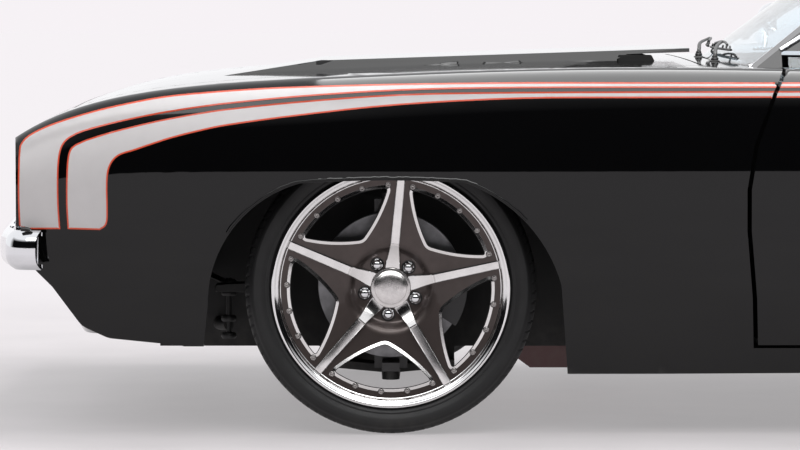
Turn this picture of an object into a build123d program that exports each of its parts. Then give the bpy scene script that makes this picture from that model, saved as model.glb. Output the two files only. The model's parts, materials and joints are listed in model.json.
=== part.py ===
from build123d import *
import os
from collections import namedtuple
from math import asin, cos, radians, sin

# A two-door hardtop muscle coupe on wide low wheels.
# +X is forward, +Y is the car's left, +Z is up. The origin is on the floor under the middle of the car.
# All lengths are millimetres. Sizes ahead of the cabin are measured from the front axle,
# and sizes behind it from the rear axle, so the wheelbase alone sets the length of the cabin.

# Overall sizes
WHEELBASE = 2745.0
FRONT_OVERHANG = 925.0
REAR_OVERHANG = 1054.0
HALF_WIDTH = 940.0
ROOF_HEIGHT = 1238.0
FRONT_X = (WHEELBASE + REAR_OVERHANG - FRONT_OVERHANG) / 2
REAR_X = FRONT_X - WHEELBASE
WIDE = HALF_WIDTH / 940.0

# Panels and gaps
SKIN = 12.0
DOOR_GAP_FRONT = 10.0
DOOR_GAP = 7.0
LID_GAP = 6.0
LID_HALF_WIDTH = 644.0 * WIDE
BOOT_HALF_WIDTH = 606.0 * WIDE
DOOR_INNER_Y = 770.0 * WIDE
FLOOR_Z = 212.0
FLOOR_SHEET = 12.0
DOOR_BOTTOM_Z = 207.0
DOOR_TOP_Z = 848.0
BOOT_FLOOR_Z = 475.0
FAR = 1500.0

# Wheels
FRONT_TYRE_R = 332.0
REAR_TYRE_R = 340.0
FRONT_TYRE_HALF = 114.0
REAR_TYRE_HALF = 138.0
RIM_R = 271.5
FRONT_TRACK_HALF = HALF_WIDTH - 200.0
REAR_TRACK_HALF = HALF_WIDTH - 188.0
SPINDLE_R = 30.0
BEARING_CLEARANCE = 0.3
DISC_R = 167.0
SPOKES = 5
WHEEL_TURN = 5.4
STUD_CIRCLE_R = 60.3
STEER_LIMIT = 30.0
TYRE_CLEARANCE = 6.0

# Greenhouse
BELT_Z = 830.0
RAIL_Z = 1180.0
PILLAR = 34.0
GLASS = 5.0

Station = namedtuple(
    "Station",
    "axle dx sill_y sill_z crease_y crease_z shoulder_y shoulder_z crest_y crest_z top_z",
)

# The body's sections from nose to tail: half widths and heights of its corners, and the height at the middle
STATIONS = [
    Station("front", 893, 800, 180, 884, 560, 866, 606, 822, 644, 652),
    Station("front", 713, 830, 150, 915, 580, 896, 694, 850, 742, 747),
    Station("front", 413, 845, 141, 933, 596, 910, 740, 858, 796, 800),
    Station("front", 0, 850, 141, 940, 598, 914, 764, 862, 820, 824),
    Station("front", -837, 850, 141, 930, 598, 905, 776, 850, 832, 837),
    Station("rear", 1008, 850, 141, 926, 598, 900, 780, 842, 838, 846),
    Station("rear", 0, 850, 141, 940, 600, 914, 806, 850, 866, 880),
    Station("rear", -592, 840, 150, 916, 592, 892, 792, 822, 850, 864),
    Station("rear", -1022, 815, 200, 882, 578, 856, 766, 790, 818, 830),
]
LOWER_BULGE = 16.0
UPPER_BULGE = 5.0
SHOULDER_BULGE = 13.0

# Corners of the wheel openings, from the axle: distance forward and height above the floor
Arch = namedtuple("Arch", "foot hip side crown_front crown crown_rear side_rear hip_rear foot_rear")
FRONT_ARCH = Arch(
    (440, 60), (413, 300), (349, 482), (205, 577), (0, 584), (-165, 579), (-303, 490), (-385, 345), (-408, 60)
)
REAR_ARCH = Arch(
    (412, 60), (390, 330), (318, 482), (190, 572), (0, 582), (-190, 572), (-318, 482), (-390, 330), (-412, 60)
)


def axle_x(axle):
    return FRONT_X if axle == "front" else REAR_X


def solid_of(shape):
    """The shape as one plain compound of its solids."""
    found = shape.solids()
    return found[0] if len(found) == 1 else Compound(children=list(found))


def box(x0, x1, y0, y1, z0, z1):
    return Pos((x0 + x1) / 2, (y0 + y1) / 2, (z0 + z1) / 2) * Box(abs(x1 - x0), abs(y1 - y0), abs(z1 - z0))


def mirrored(shape):
    return mirror(shape, about=Plane.XZ)


def both(shape):
    """The shape and its mirror image on the other side."""
    return Compound(children=[*shape.solids(), *mirrored(shape).solids()])


def side_prism(points, y0, y1, rounding=0.0):
    """A side-view outline of (x, z) corners, carried across from y0 to y1."""
    face = make_face(Polyline(*[(x, y0, z) for x, z in points], close=True))
    if rounding:
        face = fillet(face.vertices(), rounding)
    return extrude(face, amount=y1 - y0, dir=(0, 1, 0))


def front_prism(points, x0, x1, rounding=0.0):
    """A front-view outline of (y, z) corners, carried along from x0 to x1."""
    face = make_face(Polyline(*[(x0, y, z) for y, z in points], close=True))
    if rounding:
        face = fillet(face.vertices(), rounding)
    return extrude(face, amount=x1 - x0, dir=(1, 0, 0))


def rod(start, end, radius):
    """A round bar from one point to another."""
    a, b = Vector(*start), Vector(*end)
    return extrude(Plane(origin=a, z_dir=b - a) * Circle(radius), amount=(b - a).length)


# Body surface


def bowed(a, b, bulge):
    """The middle of an arc from a to b that stands out by bulge."""
    dy, dz = b[0] - a[0], b[1] - a[1]
    length = (dy * dy + dz * dz) ** 0.5
    return ((a[0] + b[0]) / 2 + bulge * dz / length, (a[1] + b[1]) / 2 - bulge * dy / length)


def section(s, inset):
    """One section of the body across the car, drawn inside the outer surface by inset."""
    x = axle_x(s.axle) + s.dx
    drop = 5 * inset
    lean = (s.crease_y - s.sill_y) * WIDE / (s.crease_z - s.sill_z)
    corners = [
        (s.sill_y * WIDE - inset - lean * drop, s.sill_z - drop),
        (s.crease_y * WIDE - inset, s.crease_z),
        (s.shoulder_y * WIDE - inset, s.shoulder_z - inset / 3),
        (s.crest_y * WIDE - inset / 1.7, s.crest_z - inset),
    ]
    bulges = [LOWER_BULGE, UPPER_BULGE, SHOULDER_BULGE]
    middles = [bowed(corners[i], corners[i + 1], bulges[i]) for i in range(3)]

    def at(point, side):
        return (x, side * point[0], point[1])

    edges = [Line(at(corners[0], -1), at(corners[0], 1))]
    for i in range(3):
        edges.append(ThreePointArc(at(corners[i], 1), at(middles[i], 1), at(corners[i + 1], 1)))
    edges.append(ThreePointArc(at(corners[3], 1), (x, 0, s.top_z - inset), at(corners[3], -1)))
    for i in (2, 1, 0):
        edges.append(ThreePointArc(at(corners[i + 1], -1), at(middles[i], -1), at(corners[i], -1)))
    return Face(Wire(edges))


def body_loft(inset):
    return loft([section(s, inset) for s in STATIONS])


NOSE_TIP = FRONT_X + 889
NOSE_SIDE = FRONT_X + 834
TAIL_TIP = REAR_X - 1016
TAIL_SIDE = REAR_X - 976
PLAN_Y = 1000.0


def plan_prism(trim):
    """The car's outline from above, with its bowed nose and tail, drawn in by trim at both ends."""
    nose = ThreePointArc((NOSE_SIDE - trim, -PLAN_Y), (NOSE_TIP - trim, 0), (NOSE_SIDE - trim, PLAN_Y))
    tail = ThreePointArc((TAIL_SIDE + trim, PLAN_Y), (TAIL_TIP + trim, 0), (TAIL_SIDE + trim, -PLAN_Y))
    sides = [Line(nose @ 1, tail @ 0), Line(tail @ 1, nose @ 0)]
    return extrude(make_face([nose, sides[0], tail, sides[1]]), amount=FAR)


# The underside of nose and tail in side view, from the bumper to the wheel opening
CHIN = [(825, 478), (811, 386), (765, 340), (700, 250), (640, 222), (436, 202)]
CHIN_ROUND = 50.0
TUCK = [(-1016, 400), (-960, 300), (-760, 226), (-412, 190)]


def lower_trim():
    chin = [(FRONT_X + x, z) for x, z in CHIN]
    outline = [(NOSE_TIP + 200, 478)] + chin + [(FRONT_X + 436, 0), (NOSE_TIP + 200, 0)]
    face = make_face(Polyline(*[(x, -FAR, z) for x, z in outline], close=True))
    below_bumper = [corner for corner in face.vertices() if corner.Z < CHIN[0][1] - 1]
    front = extrude(fillet(below_bumper, CHIN_ROUND), amount=2 * FAR, dir=(0, 1, 0))
    tuck = [(REAR_X + x, z) for x, z in TUCK]
    rear = side_prism([(TAIL_TIP - 100, 400)] + tuck + [(REAR_X - 412, 0), (TAIL_TIP - 100, 0)], -FAR, FAR)
    return front + rear


def arch_prism(axle, arch, grow=0.0):
    """A wheel opening cut through the left side of the body."""
    x0 = axle_x(axle)
    p = {k: (x0 + v[0], 560.0, v[1] + grow) for k, v in arch._asdict().items()}
    edges = [
        Line(p["foot"], p["hip"]),
        ThreePointArc(p["hip"], p["side"], p["crown_front"]),
        ThreePointArc(p["crown_front"], p["crown"], p["crown_rear"]),
        ThreePointArc(p["crown_rear"], p["side_rear"], p["hip_rear"]),
        Line(p["hip_rear"], p["foot_rear"]),
        Line(p["foot_rear"], p["foot"]),
    ]
    return extrude(make_face(edges), amount=FAR - 560, dir=(0, 1, 0))


# Side outline of the door: its front edge leans back towards the pillar
DOOR_FRONT = [(-832, 207), (-827, 316), (-812, 470), (-811, 562), (-826, 660), (-869, 776), (-899, 838)]
DOOR_REAR_DX = 870.0
DOOR_REAR_X = REAR_X + DOOR_REAR_DX


def door_outline(grow_front, grow):
    front = [(FRONT_X + x + grow_front, z) for x, z in DOOR_FRONT]
    front[0] = (front[0][0], DOOR_BOTTOM_Z - grow)
    top = [(front[-1][0] - 4, DOOR_TOP_Z), (DOOR_REAR_X - grow, DOOR_TOP_Z)]
    return front + top + [(DOOR_REAR_X - grow, DOOR_BOTTOM_Z - grow)]


# Greenhouse outlines seen from above: half width and length from the axles

Plan = namedtuple("Plan", "z front_x front_y nose_x side_y rear_x rear_y tail_x")
BELT = Plan(
    BELT_Z, FRONT_X - 832, 748 * WIDE, FRONT_X - 762, 792 * WIDE, REAR_X + 25, 690 * WIDE, REAR_X - 40
)
RAIL = Plan(
    RAIL_Z, FRONT_X - 1282, 580 * WIDE, FRONT_X - 1232, 604 * WIDE, REAR_X + 500, 540 * WIDE, REAR_X + 452
)


def raised(height):
    """The greenhouse outline at any height, in a straight line from the belt through the roof rail."""
    share = (height - BELT.z) / (RAIL.z - BELT.z)
    return Plan(height, *[a + (b - a) * share for a, b in zip(BELT[1:], RAIL[1:])])


def plan_face(p, inset):
    mid = (p.front_x + p.rear_x) / 2
    corners = [(p.front_x - inset, p.front_y - inset), (p.rear_x + inset, p.rear_y - inset)]

    def at(point, side):
        return (point[0], side * point[1], p.z)

    edges = [
        ThreePointArc(at(corners[0], -1), (p.nose_x - inset, 0, p.z), at(corners[0], 1)),
        ThreePointArc(at(corners[0], 1), (mid, p.side_y - inset, p.z), at(corners[1], 1)),
        ThreePointArc(at(corners[1], 1), (p.tail_x + inset, 0, p.z), at(corners[1], -1)),
        ThreePointArc(at(corners[1], -1), (mid, inset - p.side_y, p.z), at(corners[0], -1)),
    ]
    return Face(Wire(edges))


ROOF_SAG_LONG = 40.0
ROOF_SAG_WIDE = 44.0


def crown(inset):
    """A block whose top is bowed along and across the car, to round the roof off."""
    mid = (RAIL.front_x + RAIL.rear_x) / 2
    half = (RAIL.front_x - RAIL.rear_x) / 2
    long_r = half * half / (2 * ROOF_SAG_LONG)
    wide_r = RAIL.side_y**2 / (2 * ROOF_SAG_WIDE)
    top = ROOF_HEIGHT - inset
    axis_z = top - long_r
    edge_y = 900.0
    edge_z = top - (wide_r - (wide_r * wide_r - edge_y * edge_y) ** 0.5)
    arc = ThreePointArc((mid, -edge_y, edge_z), (mid, 0, top), (mid, edge_y, edge_z))
    deep = top - 900
    corners = [(edge_y, edge_z), (edge_y, deep), (-edge_y, deep), (-edge_y, edge_z)]
    outline = Polyline(*[(mid, y, z) for y, z in corners])
    face = make_face([arc, *outline.edges()])
    span = 60.0
    turned = Rot(0, -span / 2, 0) * Pos(-mid, 0, -axis_z) * face
    block = revolve(turned, axis=Axis.Y, revolution_arc=span)
    return Pos(mid, 0, axis_z) * block


def greenhouse(inset, rounding):
    low, high = raised(BELT_Z - 60), raised(ROOF_HEIGHT + 40)
    block = loft([plan_face(low, inset), plan_face(high, inset)], ruled=True)
    block = solid_of(block & crown(inset))
    if rounding:
        top = [e for e in block.edges() if e.center().Z > RAIL_Z - 60 and e.bounding_box().size.Z < 70]
        block = fillet(top, rounding)
    return block


Screen = namedtuple("Screen", "low_y low_z high_y high_z middle_z")
FRONT_SCREEN = Screen(700 * WIDE, 800, 540 * WIDE, 1108, 1148)
REAR_SCREEN = Screen(622 * WIDE, 890, 496 * WIDE, 1108, 1148)


def screen_prism(screen, x0, x1):
    """The windscreen or back window opening in front view, with a bowed top."""
    s = screen
    top = ThreePointArc((x0, -s.high_y, s.high_z), (x0, 0, s.middle_z), (x0, s.high_y, s.high_z))
    corners = [(s.high_y, s.high_z), (s.low_y, s.low_z), (-s.low_y, s.low_z), (-s.high_y, s.high_z)]
    rest = Polyline(*[(x0, y, z) for y, z in corners])
    face = make_face([top, *rest.edges()])
    face = fillet(face.vertices(), 34)
    return extrude(face, amount=x1 - x0, dir=(1, 0, 0))


SCREEN_SPLIT_X = (RAIL.front_x + RAIL.rear_x) / 2


# Panels

HOOD_FRONT_X = FRONT_X + 735
COWL_X = FRONT_X - 722
SCOOP_FRONT_X = FRONT_X + 470
SCOOP_REAR_X = COWL_X + LID_GAP
BOOT_FRONT_X = REAR_X - 52
BOOT_REAR_X = REAR_X - 928
HINGE_Y = 918.0 * WIDE
REAR_JAMB_SLOPE = 0.14
LENGTH_SPAN = (TAIL_TIP - 200, NOSE_TIP + 200)


def door_block(gap):
    """The left door's space, grown by gap on every edge. Its rear face slants so that it can swing out."""
    block = side_prism(door_outline(gap * DOOR_GAP_FRONT / DOOR_GAP, gap), DOOR_INNER_Y - gap, FAR)
    rear = DOOR_REAR_X - gap
    slant = Polyline((rear, HINGE_Y), (rear, 0), (rear + HINGE_Y * REAR_JAMB_SLOPE, 0), close=True)
    return block - extrude(make_face(slant), amount=FAR)


def tyre_space():
    """The space of the left front tyre with its clearance, steered to both of its stops."""
    walls = [
        tyre_wall(FRONT_TYRE_R, FRONT_TYRE_HALF, FRONT_RIM_HALF, side, TYRE_CLEARANCE) for side in (1, -1)
    ]
    tread = Line(walls[0][1] @ 1, walls[1][1] @ 1)
    feet = [(wall[0] @ 0) for wall in walls]
    middle = Polyline(feet[0], (0, feet[0].Y), (0, feet[1].Y), feet[1])
    wheel = revolve(make_face([*walls[0], tread, *walls[1], *middle.edges()]), axis=Axis.Y)
    place = Pos(FRONT_X, FRONT_TRACK_HALF, FRONT_TYRE_R)
    return [place * Rot(0, 0, angle) * wheel for angle in (-STEER_LIMIT, STEER_LIMIT)]


def make_fender(left_skin, hole):
    """The left front fender, thinned inside where the steered tyre swings past its lip."""
    rear = FRONT_X - 950
    sill_cut = box(rear, FRONT_X - 822, 0, FAR, 0, DOOR_BOTTOM_Z)
    panel = left_skin & box(rear, NOSE_TIP, LID_HALF_WIDTH + LID_GAP, FAR, 0, FAR)
    panel = panel - hole - sill_cut - arch_prism("front", FRONT_ARCH) - cabin_cutter()
    for space in tyre_space():
        panel = panel - space
    return max(panel.solids(), key=lambda s: s.volume)


def make_quarter(left_skin, hole):
    side = left_skin & box(TAIL_TIP, DOOR_REAR_X + 30, 0, FAR, 0, FAR)
    lid = box(TAIL_TIP, REAR_X + 500, -1, BOOT_HALF_WIDTH + LID_GAP, 0, FAR)
    ahead = box(DOOR_REAR_X, DOOR_REAR_X + 30, 0, FAR, 0, DOOR_BOTTOM_Z)
    panel = side - hole - lid - ahead - arch_prism("rear", REAR_ARCH) - cabin_cutter()
    return max(panel.solids(), key=lambda s: s.volume)


def cabin_cutter():
    """What the greenhouse takes out of the body's top."""
    low, high = raised(BELT_Z - 160), raised(BELT_Z + 160)
    return loft([plan_face(low, 0), plan_face(high, 0)], ruled=True)


def make_rocker(left_body):
    block = left_body & box(DOOR_REAR_X, FRONT_X - 822, FLOOR_EDGE_Y, FAR, 0, DOOR_BOTTOM_Z - DOOR_GAP)
    return block


FLOOR_EDGE_Y = 740.0 * WIDE


def scoop_block(inset):
    """The duct on the hood: a low wedge that widens and rises towards the windscreen."""
    table = [
        # x, half width at the top, half width at the foot, height of the top
        (SCOOP_FRONT_X, 215, 232, 790),
        (SCOOP_FRONT_X - 300, 245, 275, 838),
        (SCOOP_REAR_X, 275, 330, 868),
    ]
    faces = []
    for x, top_y, foot_y, top_z in table:
        foot_z = 740
        corners = [
            (x, inset - foot_y, foot_z),
            (x, foot_y - inset, foot_z),
            (x, top_y - inset, top_z - inset),
            (x, inset - top_y, top_z - inset),
        ]
        faces.append(Face(Wire(Polyline(*corners, close=True).edges())))
    return loft(faces, ruled=True)


def make_hood(skin, outer):
    """The hood with its raised duct, which opens towards the windscreen."""
    flat = skin & box(COWL_X + LID_GAP, HOOD_FRONT_X - LID_GAP, -LID_HALF_WIDTH, LID_HALF_WIDTH, 600, FAR)
    duct = (scoop_block(0) - scoop_block(SKIN * 0.7)) - outer
    inside = SKIN * 0.7
    mouth = [
        (SCOOP_REAR_X - 20, 800), (SCOOP_REAR_X - 20, 868 - inside), (SCOOP_REAR_X + 150, 862 - inside),
        (SCOOP_REAR_X + 174, 842), (SCOOP_REAR_X + 174, 800),
    ]
    return flat + (duct - side_prism(mouth, -FAR, FAR))


def make_nose(skin):
    return skin & box(HOOD_FRONT_X, NOSE_TIP, -LID_HALF_WIDTH - LID_GAP, LID_HALF_WIDTH + LID_GAP, 600, FAR)


def make_valance(inner):
    """The panel below the front bumper, with its air slots and chin spoiler."""
    outside = [(FRONT_X + x, z) for x, z in CHIN[:-1]]
    inside = [(x - 10, z + 6) for x, z in reversed(outside)]
    plate = side_prism(outside + inside, -FAR, FAR) & inner
    slots = both(box(FRONT_X + 600, FRONT_X + 850, 60, 470, 296, 352))
    blade = []
    for back, z in ((FRONT_X + 590, SPOILER_Z), (FRONT_X + 655, SPOILER_Z + 102)):
        front = back + 170
        outer_arc = ThreePointArc((back, -820, z), (front, 0, z), (back, 820, z))
        inner_arc = ThreePointArc((back - 18, -820, z), (front - 18, 0, z), (back - 18, 820, z))
        ends = [Line(outer_arc @ 1, inner_arc @ 1), Line(inner_arc @ 0, outer_arc @ 0)]
        blade.append(make_face([outer_arc, ends[0], inner_arc, ends[1]]))
    under_lip = [(770, SPOILER_Z - 8), (570, SPOILER_Z + 62), (570, 0), (770, 0)]
    swept_up = side_prism([(FRONT_X + x, z) for x, z in under_lip], -FAR, FAR)
    lip = (loft(blade, ruled=True) - swept_up) & solid_of(inner)
    level = box(*LENGTH_SPAN, -FAR, FAR, 0, GRILLE_LOW_Z)
    return (plate & level) - slots - front_arms() + lip


SPOILER_Z = 188.0


GRILLE_LOW_Z = 478.0


HEADLAMP_R = 70.0
HEADLAMP_Y = 700.0 * WIDE
HEADLAMP_Z = 562.0
LAMP_CLEARANCE = 1.0


def recessed(inner, depth, thick, z0, z1, nose=True):
    """A bowed plate set back from the nose or the tail, filling the body from side to side."""
    band = plan_prism(depth) - plan_prism(depth + thick)
    mid = (FRONT_X + REAR_X) / 2
    reach = box(mid, NOSE_TIP, -FAR, FAR, z0, z1) if nose else box(TAIL_TIP, mid, -FAR, FAR, z0, z1)
    return band & reach & inner


def make_grille(inner):
    """The recessed grille: wide bars crossed by thin uprights, with a round hole for each lamp."""
    plate = recessed(inner, 34, 18, GRILLE_LOW_Z, 700)
    slots = []
    for row in range(4):
        low = 498 + row * 34
        for column in range(-3, 3):
            left = 18 + column * 186
            slots.append(box(FRONT_X + 700, NOSE_TIP, left, left + 170, low, low + 20))
    lamp = rod((FRONT_X + 700, HEADLAMP_Y, HEADLAMP_Z), (NOSE_TIP, HEADLAMP_Y, HEADLAMP_Z), HEADLAMP_R)
    return plate - Compound(children=slots) - both(lamp)


def make_headlamps():
    """Round lamps with a domed lens and a tapered bowl behind."""
    lamp_r = HEADLAMP_R - LAMP_CLEARANCE
    dome_r = lamp_r * 2.1
    spread = asin(lamp_r / dome_r)
    rim_x = dome_r * cos(spread)
    dome = ThreePointArc(
        (rim_x, 0, lamp_r), (dome_r * cos(spread / 2), 0, dome_r * sin(spread / 2)), (dome_r, 0, 0)
    )
    back = [(dome_r, 0, 0), (rim_x - 75, 0, 0), (rim_x - 75, 0, 32), (rim_x - 35, 0, lamp_r)]
    bowl = Polyline(*back, dome @ 0)
    lamp = revolve(make_face([dome, *bowl.edges()]), axis=Axis.X)
    return both(Pos(FRONT_X + 837 - dome_r, HEADLAMP_Y, HEADLAMP_Z) * lamp)


BUMPER_CORNER_Y = 880.0 * WIDE
BUMPER_THICK = 22.0
ARM_SPAN_Y = (350, 390)


def bumper(tip_x, corner_x, end_x, sign, low, high):
    """A bowed bumper bar that wraps round both corners. sign is 1 at the nose and -1 at the tail."""

    def bow(shift, y):
        end, middle = corner_x - sign * shift, tip_x - sign * shift
        return ThreePointArc((end, -y, low), (middle, 0, low), (end, y, low))

    thick = BUMPER_THICK
    outer_arc, inner_arc = bow(0, BUMPER_CORNER_Y), bow(thick, BUMPER_CORNER_Y - thick * 0.8)
    edges = [outer_arc, inner_arc]
    for side in (-1, 1):
        corner = (corner_x, side * BUMPER_CORNER_Y, low)
        wing = (end_x, side * (HALF_WIDTH - 2), low)
        bend = ((corner_x * 2 + end_x) / 3 + sign * 8, side * (HALF_WIDTH - 20), low)
        inside = (corner_x - sign * thick, side * (BUMPER_CORNER_Y - thick * 0.8), low)
        tip = (end_x, side * (HALF_WIDTH - 10), low)
        edges += [ThreePointArc(corner, bend, wing), Line(wing, tip), Line(tip, inside)]
    bar = extrude(make_face(edges), amount=high - low, dir=(0, 0, 1))
    return bar


def front_arms():
    """The irons that hold the front bumper, from the ends of the subframe."""
    return both(box(FRONT_X + 620, NOSE_TIP + 18, *ARM_SPAN_Y, 395, 455))


def rear_arms():
    """The irons that hold the rear bumper, under the boot floor."""
    return both(box(TAIL_TIP - 24, REAR_X - 860, *ARM_SPAN_Y, 425, BOOT_FLOOR_Z - SHEET))


def make_front_bumper():
    bar = bumper(NOSE_TIP + 36, FRONT_X + 865, FRONT_X + 813, 1, 381, 470)
    return bar + front_arms()


def make_rear_bumper():
    bar = bumper(TAIL_TIP - 38, REAR_X - 1032, REAR_X - 950, -1, 405, 500)
    return bar + rear_arms()


# Greenhouse


def make_roof(body):
    """The roof with its pillars: a shell with the windscreen, back window and side openings cut."""
    shell = greenhouse(0, ROOF_ROUND) - greenhouse(PILLAR, 0)
    sill = side_window(0)
    shell = shell - sill - mirrored(sill)
    shell = shell - screen_prism(FRONT_SCREEN, SCREEN_SPLIT_X, BELT.nose_x + 60)
    shell = shell - screen_prism(REAR_SCREEN, BELT.tail_x - 60, SCREEN_SPLIT_X) - body
    door_top = box(DOOR_REAR_X - DOOR_GAP, PILLAR_FOOT_X, ROOF_FOOT_Y, FAR, 0, WINDOW_LOW_Z + 20)
    shell = shell - door_top - mirrored(door_top)
    return max(shell.solids(), key=lambda s: s.volume)


ROOF_ROUND = 40.0
ROOF_FOOT_Y = 640.0
WINDOW_LOW_Z = 850.0
WINDOW_HIGH_Z = 1118.0
WINDOW_BOW = 30.0
PILLAR_FOOT_X = BELT.front_x - 62


def side_window(grow):
    """The left side opening, from the front pillar to the rear one, without a centre pillar."""
    front = (RAIL.front_x - 62 + grow, 0, WINDOW_HIGH_Z + grow)
    rear = (RAIL.rear_x + 270 - grow, 0, WINDOW_HIGH_Z + grow)
    middle = ((front[0] + rear[0]) / 2, 0, WINDOW_HIGH_Z + WINDOW_BOW + grow)
    low = WINDOW_LOW_Z - grow
    sides = Polyline(rear, (BELT.rear_x + 370 - grow, 0, low), (PILLAR_FOOT_X + 2.6 * grow, 0, low), front)
    face = make_face([ThreePointArc(front, middle, rear), *sides.edges()])
    face = fillet(face.vertices(), 20)
    return extrude(face, amount=FAR, dir=(0, 1, 0))


def glass_skin():
    return greenhouse(4, 0) - greenhouse(4 + GLASS, 0)


GLASS_SPLIT_GAP = 10.0
GLASS_EDGE = 6.0


def make_side_glass(glass, body):
    """The left door's window and the small fixed window behind it."""
    split = DOOR_REAR_X + 20
    pane = glass & side_window(-GLASS_EDGE) & box(*LENGTH_SPAN, 300, FAR, 0, FAR)
    sill = body & box(*LENGTH_SPAN, 0, FAR, 600, FAR)
    front = pane & box(split, FRONT_X, 0, FAR, 0, FAR)
    foot_front = BELT.front_x - 62 - 2 * GLASS_EDGE - 3
    foot = glass & box(split, foot_front, 300, FAR, WINDOW_LOW_Z - 20, WINDOW_LOW_Z + GLASS_EDGE)
    rear = glass & side_window(0) & box(BELT.tail_x, split - GLASS_SPLIT_GAP, 300, FAR, 0, FAR)
    return front + foot - sill, rear - sill


def make_screens(glass, body):
    front = glass & screen_prism(FRONT_SCREEN, SCREEN_SPLIT_X + 200, BELT.nose_x + 60)
    rear = glass & screen_prism(REAR_SCREEN, BELT.tail_x - 60, SCREEN_SPLIT_X - 200)
    return front - body, rear - body


def make_cowl(skin):
    panel = skin & box(RAIL.front_x, COWL_X, -LID_HALF_WIDTH - LID_GAP, LID_HALF_WIDTH + LID_GAP, 600, FAR)
    panel = panel - cabin_cutter()
    return max(panel.solids(), key=lambda s: s.center().X)


def make_deck_filler(skin):
    """The strip of body between the back window and the boot lid."""
    half = BOOT_HALF_WIDTH + LID_GAP
    panel = skin & box(BOOT_FRONT_X + LID_GAP, REAR_X + 400, -half, half, 600, FAR)
    panel = panel - cabin_cutter()
    return min(panel.solids(), key=lambda s: s.center().X)


def make_boot_lid(skin):
    return skin & box(BOOT_REAR_X, BOOT_FRONT_X, -BOOT_HALF_WIDTH, BOOT_HALF_WIDTH, 600, FAR)


TAIL_LAMP = ((330, 760), (590, 700))


def make_tail_panel(skin, inner):
    """The panel between the rear corners, with its top strip and two lamp openings."""
    half = BOOT_HALF_WIDTH + LID_GAP
    strip = skin & box(TAIL_TIP, BOOT_REAR_X - LID_GAP, -half, half, 600, FAR)
    plate = recessed(inner, 22, 12, 400, FAR, nose=False)
    apron = recessed(inner, 22, 12, 310, 400, nose=False) & box(TAIL_TIP, 0, -700, 700, 0, FAR)
    lamps = both(box(TAIL_TIP, REAR_X - 900, *TAIL_LAMP[0], *TAIL_LAMP[1]))
    return strip + plate + apron - lamps - rear_arms()


def make_tail_lamps(inner):
    """Wide lamp blocks, each parted by two grooves."""
    y, z = TAIL_LAMP
    block = recessed(inner, 16, 46, *z, nose=False) & box(TAIL_TIP, 0, y[0], y[1], *z)
    third = (y[1] - y[0]) / 3
    for i in (1, 2):
        middle = y[0] + third * i
        groove = box(TAIL_TIP, 0, middle - 5, middle + 5, *z)
        block = block - (recessed(inner, 0, 26, *z, nose=False) & groove)
    return both(block)


# Floor and inner structure

DASH_X = FRONT_X - 782
KICK_X = REAR_X + 508
TUNNEL_HALF = 130.0
TUNNEL_TOP = 362.0
WHEELHOUSE_Y = 590.0 * WIDE
FRONT_LINER_R = 430.0
REAR_LINER_R = 392.0
APRON_Y = 470.0
SHEET = 10.0


def make_floor():
    """The cabin floor with its tunnel and the raised heel of the back seat."""
    top, low = FLOOR_Z, FLOOR_Z - FLOOR_SHEET
    edge = DOOR_INNER_Y - 15
    flat = box(KICK_X, DASH_X, -edge, edge, low, top)
    inner_half = TUNNEL_HALF - FLOOR_SHEET
    right = [(-TUNNEL_HALF, low), (-TUNNEL_HALF + 25, TUNNEL_TOP)]
    outline = right + [(-y, z) for y, z in reversed(right)]
    tunnel = front_prism(outline, KICK_X, DASH_X)
    hollow = [
        (-inner_half, low - 1),
        (-inner_half + 25, TUNNEL_TOP - FLOOR_SHEET),
        (inner_half - 25, TUNNEL_TOP - FLOOR_SHEET),
        (inner_half, low - 1),
    ]
    heel = box(KICK_X - FLOOR_SHEET, KICK_X, -edge, edge, low, BOOT_FLOOR_Z)
    under = front_prism(hollow, KICK_X - FLOOR_SHEET, DASH_X)
    return flat + tunnel + heel - under


def make_firewall(inner):
    """The wall between engine bay and cabin, with its sloping toe board."""
    x = DASH_X
    outline = [(x, 900), (x, FLOOR_Z), (x - 12, FLOOR_Z), (x - 12, 900)]
    wall = side_prism(outline, -FAR, FAR) & inner
    board = side_prism([(x - 12, 430), (x - 110, FLOOR_Z), (x - 126, FLOOR_Z), (x - 12, 455)], -700, 700)
    gearbox_hole = box(x - 200, x + 10, -TUNNEL_HALF, TUNNEL_HALF, 0, TUNNEL_TOP)
    return wall + board - gearbox_hole


def liner(axle_point, radius, y0, y1):
    """A curved wheel liner over one wheel: half a tube lying across the car."""
    x, z = axle_point

    def arc(r):
        return ThreePointArc((x - r, y0, z), (x, y0, z + r), (x + r, y0, z))

    outside, inside = arc(radius + SHEET), arc(radius)
    feet = [Line(outside @ 0, inside @ 0), Line(inside @ 1, outside @ 1)]
    return extrude(make_face([outside, inside, *feet]), amount=y1 - y0, dir=(0, 1, 0))


def make_front_liner(inner):
    """The left inner fender: a curved cover over the wheel and the wall beside the engine."""
    cover = liner((FRONT_X, FRONT_TYRE_R), FRONT_LINER_R, APRON_Y, FAR) & inner
    wall = box(DASH_X, HOOD_FRONT_X, APRON_Y - SHEET, APRON_Y, 330, 700)
    arch = rod((FRONT_X, APRON_Y - 50, FRONT_TYRE_R), (FRONT_X, APRON_Y + 50, FRONT_TYRE_R), 250)
    return cover + wall - (arch & box(*LENGTH_SPAN, 0, FAR, 0, FRONT_TYRE_R + 250))


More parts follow.
